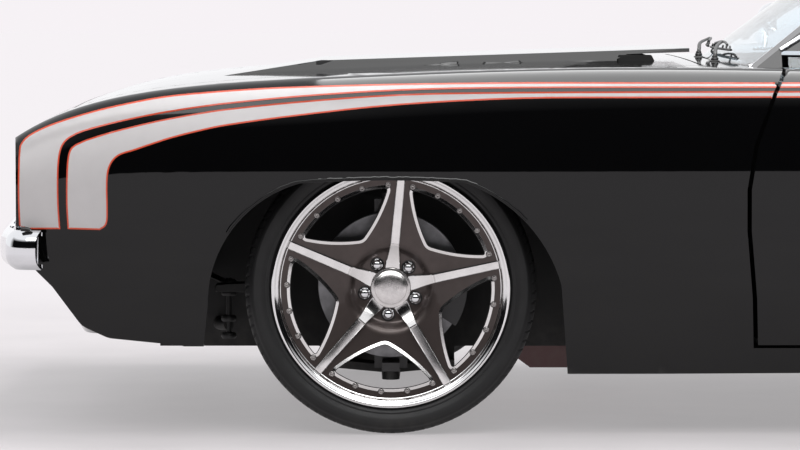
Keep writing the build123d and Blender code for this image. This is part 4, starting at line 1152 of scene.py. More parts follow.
def bolt_head(radius: float, height: float) -> Mesh:
    """Draws a hex socket bolt's head: a washer, a rounded drum and the hex recess in its top.

    Args:
        radius: The drum's radius.
        height: Its height.

    Returns:
        The head, standing along +Z from 0.
    """
    profile = (
        (1.35, 0.0), (1.35, 0.14), (1.25, 0.2), (1.0, 0.2), (1.0, 0.75), (0.86, 1.0), (0.55, 1.0),
        (0.48, 0.62), (0.0, 0.55),
    )
    rows = []
    for r, z in profile:
        sides = [math.tau * (i + 0.5) / 12 for i in range(12)]
        rows.append([(radius * r * math.cos(a), radius * r * math.sin(a), height * z) for a in sides])
    return Mesh().grid(rows, closed=True).cap(rows[0][::-1])


def lug_nut(radius: float, height: float) -> Mesh:
    """Draws a domed hex nut on its conical seat.

    Args:
        radius: The radius across its corners.
        height: Its height.

    Returns:
        The nut, standing along +Z from 0.
    """
    # Radius and height as shares of the nut's, then how round the ring is
    profile = (
        (1.25, 0.0, 1.0), (1.25, 0.12, 1.0), (1.02, 0.22, 0.6), (1.0, 0.24, 0.0), (1.0, 0.62, 0.0),
        (0.93, 0.72, 0.5), (0.80, 0.86, 1.0), (0.58, 0.95, 1.0), (0.3, 0.99, 1.0), (0.0, 1.0, 1.0),
    )
    rows = []
    for r, z, round_share in profile:
        ring = []
        for i in range(24):
            a = math.tau * i / 24
            sector = (a % (math.tau / 6)) - math.tau / 12
            hexagon = math.cos(math.tau / 12) / math.cos(sector)
            reach = radius * r * (hexagon * (1 - round_share) + round_share * 0.93)
            ring.append((reach * math.cos(a), reach * math.sin(a), height * z))
        rows.append(ring)
    return Mesh().grid(rows, closed=True).cap(rows[0][::-1])


# Wheels


@dataclass
class Wheel:
    """One star wheel with its tyre, drawn with the axle along Y and the outside at +Y, then set in place."""

    corner: str
    centre: Point3
    half: float
    tyre_radius: float
    tyre_half: float
    spokes: int = 5
    lean: float = math.radians(41.4)
    lip_radius: float = 0.2715
    ring_inner: float = 0.2515
    window_tip: float = 0.1265
    window_arc: float = 0.2295
    window_half_angle: float = math.radians(29.2)
    window_bow: float = 0.0062
    edging: float = 0.0078
    wall: float = 0.025
    bolt_circle: float = 0.2368
    bolt_step: float = math.radians(14.6)
    nut_circle: float = 0.061
    steps: int = 180
    # The half width of the wheel that the tables of heights are for, and the hub pad's depth below its lip
    table_half: float = 0.105
    pad_depth: float = 0.084

    @property
    def shift(self) -> float:
        """How much further out this wheel's face is than the tables say."""
        return self.half - self.table_half

    @property
    def back_floor(self) -> float:
        """The lowest that the star's back may lie, just clear of the hub pad."""
        return self.half - self.pad_depth + 0.0004

    @property
    def side(self) -> str:
        """The word for the car's side in the node names."""
        return "left" if self.centre[1] > 0 else "right"

    @property
    def body(self) -> str:
        """The body that turns."""
        return f"wheel_{self.corner}_{self.side}"

    def place(self) -> Matrix:
        """Returns the matrix that sets a piece on its axle, mirrored on the right side."""
        flip = Matrix.Scale(-1, 4, (0, 1, 0)) if self.centre[1] < 0 else Matrix.Identity(4)
        return Matrix.Translation(self.centre) @ flip @ Matrix.Rotation(-self.lean, 4, "Y")

    def height(self, x: float, z: float) -> float:
        """Returns how far the painted face stands out from the wheel's middle plane.

        Args:
            x: Place across the wheel.
            z: Place up the wheel.

        Returns:
            The height.
        """
        r = math.hypot(x, z)
        levels = (
            (0.0, 0.050), (0.078, 0.051), (0.083, 0.0535), (0.094, 0.065), (0.101, 0.0695), (0.12, 0.0720),
            (0.2, 0.0822), (0.226, 0.0855), (0.2515, 0.0885), (0.26, 0.0885),
        )
        for (r0, h0), (r1, h1) in zip(levels, levels[1:]):
            if r <= r1:
                return self.shift + h0 + (h1 - h0) * (r - r0) / (r1 - r0)
        return self.shift + levels[-1][1]

    def window(self, index: int, inset: float) -> list[Point2]:
        """Draws one window's outline.

        Args:
            index: Which window.
            inset: How far inside the polished edging's outer edge.

        Returns:
            Points of (x, z), the same number for every inset.
        """
        half_angle = self.window_half_angle
        tip = Vector((0.0, self.window_tip))
        right = Vector((math.sin(half_angle), math.cos(half_angle))) * (self.window_arc - 0.0005)
        left = Vector((-right.x, right.y))

        def bowed(a: Vector, b: Vector, bow: float, count: int) -> list[Vector]:
            """Draws a bowed side from one corner towards the next, in count steps."""
            out = Vector(((b - a).y, -(b - a).x)).normalized()
            shares = [step / count for step in range(count)]
            return [a.lerp(b, t) + out * (4 * bow * t * (1 - t)) for t in shares]

        arc = []
        for step in range(24):
            angle = half_angle - 2 * half_angle * step / 24
            arc.append(Vector((math.sin(angle), math.cos(angle))) * self.window_arc)
        corners = bowed(tip, right, self.window_bow, 14) + arc + bowed(left, tip, self.window_bow, 14)
        smooth = []
        count = len(corners)
        for i, point in enumerate(corners):
            before, after = corners[i - 1], corners[(i + 1) % count]
            turn = (point - before).angle(after - point)
            if turn < 0.35:
                smooth.append(point)
                continue
            reach = min(0.0085, (point - before).length * 0.9, (after - point).length * 0.9)
            start = point + (before - point).normalized() * reach
            end = point + (after - point).normalized() * reach
            for step in range(7):
                t = step / 6
                smooth.append(start * (1 - t) ** 2 + point * (2 * t * (1 - t)) + end * t * t)
        count = len(smooth)
        outline = []
        for i, point in enumerate(smooth):
            ahead = (smooth[(i + 1) % count] - smooth[i - 1]).normalized()
            outline.append(point + Vector((-ahead.y, ahead.x)) * (-inset))
        turn = Matrix.Rotation(-math.tau * index / self.spokes, 2)
        return [tuple(turn @ point) for point in outline]

    def face(self) -> Mesh:
        """Draws the painted star: its front, back and the walls of its windows."""
        holes = [self.window(i, self.edging * 0.9) for i in range(self.spokes)]

        def circle(r: float, count: int) -> list[Point2]:
            """Returns a circle of points."""
            angles = [math.tau * i / count for i in range(count)]
            return [(r * math.sin(a), r * math.cos(a)) for a in angles]

        def is_metal(x: float, z: float) -> bool:
            """Says whether a place is outside every window."""
            return not any(within(x, z, hole) for hole in holes)

        rim = circle(self.ring_inner, self.steps)
        radii = (
            0.03, 0.055, 0.078, 0.083, 0.088, 0.094, 0.101, 0.11, 0.12, 0.14, 0.17, 0.2, 0.22, 0.226, 0.238,
        )
        inside = []
        for r in radii:
            inside += [point for point in circle(r, max(20, int(r * 620))) if is_metal(*point)]
        flat, faces = filled(rim, holes, inside, is_metal)
        mesh = Mesh()
        mesh.add([(x, self.height(x, z), z) for x, z in flat], faces)
        back = [(x, max(self.height(x, z) - self.wall, self.back_floor), z) for x, z in flat]
        mesh.add(back, [face[::-1] for face in faces])
        for loop in (*holes, rim):
            rows = []
            for x, z in loop:
                top = self.height(x, z)
                rows.append([(x, top, z), (x, max(top - self.wall, self.back_floor), z)])
            mesh.grid(rows, looped=True)
        return mesh

    def edgings(self) -> Mesh:
        """Draws the polished bevel round each window."""
        mesh = Mesh()
        for index in range(self.spokes):
            outer, inner = self.window(index, 0.0), self.window(index, self.edging)
            rows = []
            for (x0, z0), (x1, z1) in zip(outer, inner):
                top = self.height(x0, z0)
                low = self.height(x1, z1)
                rows.append([
                    (x0, top - 0.002, z0), (x0, top + 0.0009, z0),
                    (x1, low - 0.0012, z1), (x1, low - 0.006, z1),
                ])
            mesh.grid(rows, closed=True, looped=True)
        return mesh

    def shadow_lines(self) -> Mesh:
        """Draws the dark step that outlines each edging and each bar."""
        mesh = Mesh()
        for index in range(self.spokes):
            outer, inner = self.window(index, -0.0016), self.window(index, 0.0006)
            rows = []
            for (x0, z0), (x1, z1) in zip(outer, inner):
                top = self.height(x0, z0) + 0.0004
                rows.append([(x0, top - 0.002, z0), (x0, top, z0), (x1, top, z1), (x1, top - 0.002, z1)])
            mesh.grid(rows, closed=True, looped=True)
        for index in range(self.spokes):
            mesh.merge(self.bar(index, 0.0016, 0.0007, True))
        return mesh

    def bar(self, index: int, grow: float = 0.0, lift: float = 0.0, flat: bool = False) -> Mesh:
        """Draws the polished bar along one spoke, which scoops down to the cap.

        Args:
            index: Which spoke.
            grow: How much wider it is on each side.
            lift: Its height over the painted face where it is flat.
            flat: Whether it only follows the painted face.

        Returns:
            The bar.
        """
        # Distance from the axle, half width, height of the top
        stations = (
            (0.044, 0.0168, 0.061), (0.052, 0.0163, 0.0612), (0.060, 0.0152, 0.0622),
            (0.070, 0.0138, 0.0650), (0.080, 0.0125, 0.0698), (0.090, 0.0112, 0.0762),
            (0.0985, 0.0102, 0.0822), (0.1003, 0.0101, 0.0826), (0.1012, 0.0100, 0.0812),
            (0.1022, 0.0100, 0.0812), (0.1031, 0.0100, 0.0829), (0.125, 0.0098, 0.0842),
            (0.2, 0.0093, 0.0892), (0.246, 0.0090, 0.0925), (0.2512, 0.0090, 0.0925),
        )
        rows = []
        for r, half_width, top in stations:
            wide = half_width + grow
            low = self.height(0.0, r) - 0.004
            top = self.height(0.0, r) + lift if flat else self.shift + top
            section = (
                (-wide, low), (-wide, top - 0.0012), (-wide + 0.0013, top), (0.0, top + 0.0002),
                (wide - 0.0013, top), (wide, top - 0.0012), (wide, low),
            )
            rows.append([(x, y, r) for x, y in section])
        turn = Matrix.Rotation(math.tau * (index + 0.5) / self.spokes, 4, "Y")
        return Mesh().solid(rows).moved(turn)

    def lip(self) -> Mesh:
        """Draws the polished stepped lip."""
        points = (
            (0.2715, 0.0970), (0.2715, 0.1010), (0.2708, 0.1040), (0.2690, 0.1050), (0.2660, 0.1050),
            (0.2640, 0.1040), (0.2622, 0.1012), (0.2600, 0.1000), (0.2572, 0.0994), (0.2552, 0.0978),
            (0.2535, 0.0940), (0.2524, 0.0905), (0.2514, 0.0890), (0.2500, 0.0885), (0.2500, 0.0800),
            (0.2590, 0.0800), (0.2590, 0.0900), (0.2680, 0.0960),
        )
        return lathe([(r, y + self.shift) for r, y in points], self.steps)

    def barrel(self) -> Mesh:
        """Draws the barrel between the lip and the inner flange."""
        deep, seat = 0.243, 0.2575
        points = (
            (0.2600, self.half - 0.018), (0.2500, self.half - 0.018), (0.2500, self.half - 0.045),
            (deep, self.half - 0.060), (deep, 0.045 - self.half), (0.2520, 0.030 - self.half),
            (0.2600, 0.004 - self.half), (0.2650, -self.half), (0.2712, -self.half),
            (0.2712, 0.006 - self.half),
            (seat + 0.003, 0.016 - self.half), (seat + 0.002, 0.030 - self.half),
            (deep + 0.006, 0.042 - self.half), (deep + 0.006, self.half - 0.074), (seat, self.half - 0.056),
            (seat, self.half - 0.022),
        )
        return lathe(points, 120)

    def cap(self) -> Mesh:
        """Draws the domed centre cap on its stepped ring."""
        points = (
            (0.0, 0.0835), (0.012, 0.0833), (0.024, 0.0824), (0.032, 0.0810), (0.0358, 0.0792),
            (0.0366, 0.0770), (0.0366, 0.0742), (0.0384, 0.0736), (0.0398, 0.0728), (0.0398, 0.0700),
            (0.0440, 0.0694), (0.0456, 0.0680), (0.0456, 0.0500), (0.0, 0.0500),
        )
        return lathe([(r, y + self.shift) for r, y in points], 64, closed=False)

    def hub(self) -> Mesh:
        """Draws the turned hub pad behind the star."""
        low = self.half - self.pad_depth
        high = low + 0.028
        points = ((0.031, low), (0.084, low), (0.086, low + 0.002), (0.086, high), (0.031, high))
        return lathe(points, 60)

    def nut_recesses(self) -> Mesh:
        """Draws a dark round cup under each nut: painted shade for the hole that the nut sits in."""
        mesh, cup = Mesh(), Mesh()
        hollow = ((0.0158, 0.0522), (0.0150, 0.0526), (0.0138, 0.0515), (0.0118, 0.0509), (0.0, 0.0508))
        skirt = ((0.0158, 0.0522), (0.0166, 0.0490), (0.0, 0.0490))
        for profile in (hollow, skirt):
            cup.merge(lathe([(r, y + self.shift) for r, y in profile], 28, closed=False))
        for index in range(self.spokes):
            angle = math.tau * index / self.spokes
            place = (self.nut_circle * math.sin(angle), 0.0, self.nut_circle * math.cos(angle))
            mesh.merge(cup.moved(Matrix.Translation(place)))
        return mesh

    def tyre(self) -> Mesh:
        """Draws the tyre with grooves round its tread and slanted cuts over its shoulders."""
        radius, half = self.tyre_radius, self.tyre_half
        bead = self.half - 0.015
        wall = [
            (0.2585, bead - 0.026), (0.2585, bead), (0.2728, bead + 0.0062), (0.2745, bead + 0.0100),
            (0.2770, bead + 0.0142), (0.2790, bead + 0.0150), (0.2815, bead + 0.0166),
        ]
        edge_r = self.lip_radius + 0.001
        start, end = (edge_r, bead + 0.006), (radius - 0.012, half - 0.012)
        middle = ((edge_r + radius) / 2, half)
        side = []
        for step in range(3, 17):
            t = step / 16
            a, b, c = (1 - t) * (1 - 2 * t), 4 * t * (1 - t), t * (2 * t - 1)
            r = a * start[0] + b * middle[0] + c * end[0]
            y = a * start[1] + b * middle[1] + c * end[1]
            step_in = 0.0008 if step in (7, 8, 9, 10) else 0.0
            side.append((r, y - step_in, 0.0))
        wall = [(r, y, 0.0) for r, y in wall] + side
        shoulder = [
            (radius - 0.0085, half - 0.0150, 0.5), (radius - 0.0055, half - 0.0185, 0.8),
            (radius - 0.0035, half - 0.0225, 1.0), (radius - 0.0018, half - 0.028, 1.0),
            (radius - 0.0006, half - 0.034, 1.0), (radius - 0.0002, half - 0.0420, 1.0),
        ]
        crown = []
        width = half - 0.046
        for middle_y in (width * 0.93, width * 0.30):
            crown += [
                (radius, middle_y + 0.0052, 0.0), (radius - 0.0072, middle_y + 0.0040, 0.0),
                (radius - 0.0072, middle_y - 0.0040, 0.0), (radius, middle_y - 0.0052, 0.0),
            ]
            if middle_y > width * 0.5:
                crown += [(radius, middle_y - 0.0085, 1.0), (radius, width * 0.30 + 0.0085, 1.0)]
        upper = wall + shoulder + crown
        profile = upper + [(r, -y, cut) for r, y, cut in reversed(upper)]
        profile += [
            (0.2585, -(bead - 0.026), 0.0), (radius - 0.018, -(half - 0.035), 0.0),
            (radius - 0.014, 0.0, 0.0), (radius - 0.018, half - 0.035, 0.0),
        ]
        count = 540
        pitch = 6
        rows = []
        for i in range(count):
            row = []
            for r, y, cut in profile:
                slant = abs(y) * 95.0 if abs(y) > width * 0.6 else y * 60.0
                phase = (i + slant) % pitch
                deep = 0.0045 * cut if phase < 1.0 else 0.0
                angle = math.tau * i / count
                row.append(((r - deep) * math.sin(angle), y, (r - deep) * math.cos(angle)))
            rows.append(row)
        return Mesh().grid(rows, closed=True, looped=True)

    def build(self) -> None:
        """Makes the wheel's pieces and sets them on the axle."""
        place = self.place()
        tag = f"{self.corner}_{self.side}"
        pieces = (
            ("star", self.face(), Finishes.rim_paint, 28.0),
            ("window_edgings", self.edgings(), Finishes.polished, 30.0),
            ("shadow_lines", self.shadow_lines(), Finishes.rubber, 30.0),
            ("lip", self.lip(), Finishes.lip, 40.0),
            ("barrel", self.barrel(), Finishes.barrel, 30.0),
            ("cap", self.cap(), Finishes.cap, 30.0),
            ("hub_pad", self.hub(), Finishes.barrel, 30.0),
            # The dark cups under the nuts are painted shade standing for the nut holes
            ("nut_cups", self.nut_recesses(), Finishes.rubber, 40.0),
        )
        for word, mesh, finish, sharp in pieces:
            mesh.moved(place).piece(f"{tag}_{word}", finish, self.body, "wheel_metal", sharp)
        bars = Mesh()
        for index in range(self.spokes):
            bars.merge(self.bar(index))
        bars.moved(place).piece(f"{tag}_star_bars", Finishes.polished, self.body, "wheel_metal", 22.0)
        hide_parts(f"{self.corner}_rim_{self.side}")
        self.fasteners(place, tag)
        tyre = self.tyre().moved(place).piece(f"{tag}_treaded_tyre", Finishes.tyre, self.body, "tyre", 25.0)
        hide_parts(f"{self.corner}_tyre_{self.side}")

    def fasteners(self, place: Matrix, tag: str) -> None:
        """Sets the ring of bolts and the five nuts.

        Args:
            place: The matrix of the wheel.
            tag: The start of the pieces' names.
        """
        outwards = (place.to_3x3() @ Vector((0.0, 1.0, 0.0))).normalized()
        bolts, nuts = [], []
        for index in range(self.spokes):
            middle = math.tau * index / self.spokes
            for k in (-2, -1, 0, 1, 2):
                angle = middle + k * self.bolt_step
                x, z = self.bolt_circle * math.sin(angle), self.bolt_circle * math.cos(angle)
                bolts.append((place @ Vector((x, self.height(x, z) - 0.0003, z)), outwards))
            x, z = self.nut_circle * math.sin(middle), self.nut_circle * math.cos(middle)
            nuts.append((place @ Vector((x, self.height(x, z), z)), outwards))
        # A thin black ring that shows round each bolt's foot: painted shade where the bolt meets the ring
        rings = lathe([(0.0074, 0.0), (0.0074, 0.0006), (0.0068, 0.0008), (0.0, 0.0008)], 16, closed=False)
        rings = rings.moved(Matrix.Rotation(math.pi / 2, 4, "X"))
        repeater.set_out(f"{tag}_bolt_washers", rings, bolts, Finishes.rubber, self.body)
        repeater.set_out(
            f"{tag}_ring_bolts", bolt_head(0.0045, 0.0058), bolts, Finishes.bolt, self.body,
            spread=math.tau, seed=7, sharp=35.0,
        )
        repeater.set_out(
            f"{tag}_nuts", lug_nut(0.0112, 0.017), nuts, Finishes.chrome, self.body,
            spread=math.tau, seed=3, sharp=35.0,
        )


class Bodywork:
    """The carried-over model pieces: each gets the finish of the real panel."""

    def __init__(self) -> None:
        """Lists which finish each node takes."""
        self.by_word: tuple[tuple[str, Finish], ...] = (
            ("glass", Finishes.glass), ("windscreen", Finishes.glass), ("rear_window", Finishes.glass),
            ("tyre", Finishes.tyre), ("rim", Finishes.rim_paint), ("disc", Finishes.disc),
            ("bumper", Finishes.chrome), ("grille", Finishes.grille), ("headlamps", Finishes.lamp_glass),
            ("tail_lamps", Finishes.red_lens), ("subframe", Finishes.red_chassis),
            ("control_arms", Finishes.under), ("leaf_springs", Finishes.under), ("rear_axle", Finishes.under),
            ("firewall", Finishes.under), ("inner_fenders", Finishes.under), ("boot_floor", Finishes.under),
            ("floor_pan", Finishes.under), ("radiator", Finishes.under), ("knuckle", Finishes.caliper),
            ("engine_block", Finishes.engine), ("exhaust", Finishes.steel), ("driveline", Finishes.steel),
            ("fuel_tank", Finishes.steel), ("seat", Finishes.leather), ("dashboard", Finishes.vinyl),
            ("steering_wheel", Finishes.vinyl), ("parcel_shelf", Finishes.vinyl),
        )

    def finish_of(self, node: str) -> Finish:
        """Returns the finish of a node by the first word that its name holds.

        Args:
            node: The node's name.

        Returns:
            Its finish; a body panel's black paint where no word fits.
        """
        for word, finish in self.by_word:
            if word in node:
                return finish
        return Finishes.body

    def build(self) -> None:
        """Gives every carried-over node its material."""
        for name, piece in frame["nodes"].items():
            piece.data.materials.clear()
            piece.data.materials.append(shop.material(self.finish_of(name)))
        log.info("dressed %d model nodes", len(frame["nodes"]))


# Stripes


@dataclass
class Stripes:
    """The silver stripes with red edges, laid on the panels of both sides."""

    edge: float = 0.0036
    proud: float = 0.0009
    step: float = 0.007
    seam_gap: float = 0.010
    door_rear: float = -0.438
    quarter_front: float = -0.445
    tail: float = -1.30
    # The heights, at the door, that the two stripes run out to
    tips: Point2 = (0.7955, 0.778)
    # The spacing and the start of the extra points that let the front of a stripe follow the fender
    spot_step: Point2 = (0.012, 0.010)
    spot_start: Point2 = (1.2, 0.47)
    # Places of (x, z) seen from the side
    outer_top: Outline = (
        (2.2748, 0.4716), (2.2766, 0.5373), (2.2760, 0.6047), (2.2751, 0.6489), (2.2711, 0.6641),
        (2.2551, 0.6818), (2.2182, 0.7013), (2.1673, 0.7199), (2.0919, 0.7418), (2.0151, 0.7588),
        (1.9454, 0.7711), (1.8667, 0.7793), (1.7541, 0.7877), (1.6413, 0.7932), (1.4160, 0.7995),
        (1.1460, 0.8030), (0.8759, 0.8029), (0.5152, 0.8023),
    )
    outer_foot: Outline = (
        (2.1809, 0.4726), (2.1840, 0.5269), (2.1842, 0.5833), (2.1823, 0.6280), (2.1770, 0.6548),
        (2.1671, 0.6704), (2.1513, 0.6817), (2.1242, 0.6930), (2.0564, 0.7112), (1.9776, 0.7281),
        (1.9282, 0.7371), (1.8654, 0.7465), (1.7980, 0.7549), (1.6408, 0.7700), (1.4160, 0.7841),
        (1.1463, 0.7898), (0.6514, 0.7903), (0.5162, 0.7904),
    )
    inner_top: Outline = (
        (2.1645, 0.4728), (2.1670, 0.5270), (2.1664, 0.5834), (2.1640, 0.6282), (2.1587, 0.6505),
        (2.1486, 0.6617), (2.1350, 0.6685), (2.1125, 0.6775), (2.0561, 0.6945), (1.9774, 0.7136),
        (1.9280, 0.7237), (1.8652, 0.7349), (1.7978, 0.7445), (1.6406, 0.7607), (1.4160, 0.7764),
        (1.1465, 0.7816), (0.6517, 0.7830), (0.5166, 0.7831),
    )
    inner_foot: Outline = (
        (2.0920, 0.4710), (2.0795, 0.4790), (2.0737, 0.4938), (2.0728, 0.5276), (2.0733, 0.5614),
        (2.0720, 0.5929), (2.0676, 0.6131), (2.0575, 0.6299), (2.0418, 0.6411), (2.0126, 0.6501),
        (1.9767, 0.6624), (1.9274, 0.6781), (1.8647, 0.6938), (1.7974, 0.7072), (1.6404, 0.7284),
        (1.4160, 0.7520), (1.1466, 0.7660), (0.8770, 0.7677), (0.5171, 0.7684),
    )
    # Where the shoulder lies above the height that it has at the door's front edge
    rise: Outline = ((0.517, 0.0), (0.1, 0.007), (-0.4, 0.020), (-0.9, 0.033), (-1.30, 0.040))
    door_edge: Outline = ((0.610, 0.562), (0.597, 0.660), (0.568, 0.776), (0.538, 0.838), (0.530, 0.90))

    def behind(self, start: Point2, end_height: float) -> list[Point2]:
        """Draws an edge's run over the door and quarter to the stripes' tip.

        Args:
            start: The edge's place at the door.
            end_height: How far above the start's level the tip is, without the shoulder's rise.

        Returns:
            The run's places.
        """
        run = []
        for step in range(1, 25):
            x = start[0] + (self.tail - start[0]) * step / 24
            for (x0, r0), (x1, r1) in zip(self.rise, self.rise[1:]):
                if x1 <= x <= x0:
                    lift = r0 + (r1 - r0) * (x0 - x) / (x0 - x1)
            share = ((start[0] - x) / (start[0] - self.tail)) ** 1.6
            run.append((x, start[1] + lift + end_height * share))
        return run

    def outline(self, top: Sequence[Point2], foot: Sequence[Point2], tip: float) -> list[Point2]:
        """Joins a stripe's two edges to one outline with even steps.

        Args:
            top: The upper edge.
            foot: The lower edge.
            tip: The height, at the door, of the level that both edges run out to.

        Returns:
            The outline, in order.
        """
        above = [*top, *self.behind(top[-1], tip - top[-1][1])]
        below = [*foot, *self.behind(foot[-1], tip - 0.0006 - foot[-1][1])]
        upper = smooth_path([(*p, 0.0) for p in above], 4)
        lower = smooth_path([(*p, 0.0) for p in below], 4)
        loop = [(p.x, p.y) for p in upper] + [(p.x, p.y) for p in reversed(lower)]
        return stepped(loop, self.step, 0.0005)

    def inset(self, loop: Sequence[Point2]) -> list[Point2]:
        """Draws the line between a stripe's red edge and its silver middle.

        Args:
            loop: The stripe's outline.

        Returns:
            The inner line, with a point for each point of the outline.
        """
        area = sum(a[0] * b[1] - b[0] * a[1] for a, b in zip(loop, [*loop[1:], loop[0]]))
        turn = 1.0 if area > 0 else -1.0
        inner = []
        for i, (x, z) in enumerate(loop):
            (ax, az), (bx, bz) = loop[i - 1], loop[(i + 1) % len(loop)]
            length = math.hypot(bx - ax, bz - az) or 1.0
            reach = self.edge if x > 0.5 else self.edge * max(0.15, 1 + (x - 0.5) / 2.0)
            inner.append((x - turn * (bz - az) / length * reach, z + turn * (bx - ax) / length * reach))
        return inner

    def seam_x(self, z: float) -> float:
        """Finds the door's front edge.

        Args:
            z: The height.

        Returns:
            The edge's place along the car.
        """
        for (x0, z0), (x1, z1) in zip(self.door_edge, self.door_edge[1:]):
            if z <= z1:
                return x0 + (x1 - x0) * (z - z0) / (z1 - z0)
        return self.door_edge[-1][0]

    def panel_at(self, x: float, z: float) -> str | None:
        """Names the panel under a place.

        Args:
            x: The place along the car.
            z: Its height.

        Returns:
            The panel's name without its side, or None over a seam.
        """
        seam = self.seam_x(z)
        if x > seam + self.seam_gap:
            return "front_fender"
        if self.door_rear + 0.001 < x < seam:
            return "door"
        return "quarter_panel" if x < self.quarter_front - 0.001 else None

    def build(self) -> None:
        """Lays both stripes on both sides."""
        slit = 0.0001
        seams = []
        for shift in (0.0, self.seam_gap):
            edge = [(x + shift, z) for x, z in self.door_edge]
            seams.append(edge + [(x - slit, z) for x, z in reversed(edge)])
        for x in (self.door_rear + 0.001, self.quarter_front - 0.001):
            seams.append([(x, 0.6), (x, 0.95), (x - slit, 0.95), (x - slit, 0.6)])
        flats = []
        edges = ((self.outer_top, self.outer_foot), (self.inner_top, self.inner_foot))
        for (top, foot), tip in zip(edges, self.tips):
            loop = self.outline(top, foot, tip)
            middle = self.inset(loop)
            spots = []
            low_x, high_x = min(p[0] for p in loop), max(p[0] for p in loop)
            for i in range(int((high_x - low_x) / self.spot_step[0])):
                for j in range(40):
                    spot = (low_x + i * self.spot_step[0], self.spot_start[1] + j * self.spot_step[1])
                    if spot[0] > self.spot_start[0] and within(*spot, middle):
                        spots.append(spot)
            points, faces = filled(loop, [middle, *seams], spots, lambda x, z: within(x, z, loop))
            flats.append((points, faces, middle))
        for word, side in SIDES:
            meshes: dict[tuple[str, str], Mesh] = {}
            for points, faces, middle in flats:
                sorted_faces: dict[tuple[str, str], list[Face]] = {}
                for face in faces:
                    x = sum(points[i][0] for i in face) / len(face)
                    z = sum(points[i][1] for i in face) / len(face)
                    panel = self.panel_at(x, z)
                    if panel:
                        kind = "silver" if within(x, z, middle) else "red"
                        sorted_faces.setdefault((panel, kind), []).append(face)
                for key, chosen in sorted_faces.items():
                    self.lay(meshes.setdefault(key, Mesh()), points, chosen, f"{key[0]}_{word}", side)
            for (panel, kind), mesh in meshes.items():
                finish = Finishes.silver if kind == "silver" else Finishes.pinstripe
                body = body_of(frame["nodes"][f"{panel}_{word}"])[0]
                mesh.piece(f"{panel}_{word}_{kind}_stripes", finish, body, "paint", 60.0, recalculate=False)

    def lay(
        self, mesh: Mesh, points: Sequence[Point2], faces: Sequence[Face], node: str, side: float
    ) -> None:
        """Puts flat triangles on a panel.

        Args:
            mesh: What they are added to.
            points: Their flat places.
            faces: The triangles.
            node: The panel's node.
            side: 1 on the left and -1 on the right.
        """
        tree = search_tree(bpy.data.meshes[f"{node}_shell"])
        used = sorted({i for face in faces for i in face})
        order = {old: new for new, old in enumerate(used)}
        laid = []
        for i in used:
            x, z = points[i]
            hit, normal = seen_from_side(tree, side, x, z, 1.3, 0.75)
            if hit is None:
                hit, normal, _, _ = tree.find_nearest(Vector((x, side * 0.92, z)))
            if normal.y * side < 0:
                normal = -normal
            laid.append(hit + normal * self.proud)
        turned = []
        for face in faces:
            a, b, c = (laid[order[i]] for i in face[:3])
            outward = (b - a).cross(c - a).y * side > 0
            ring = tuple(order[i] for i in face)
            turned.append(ring if outward else ring[::-1])
        mesh.add(laid, turned)


# Trim


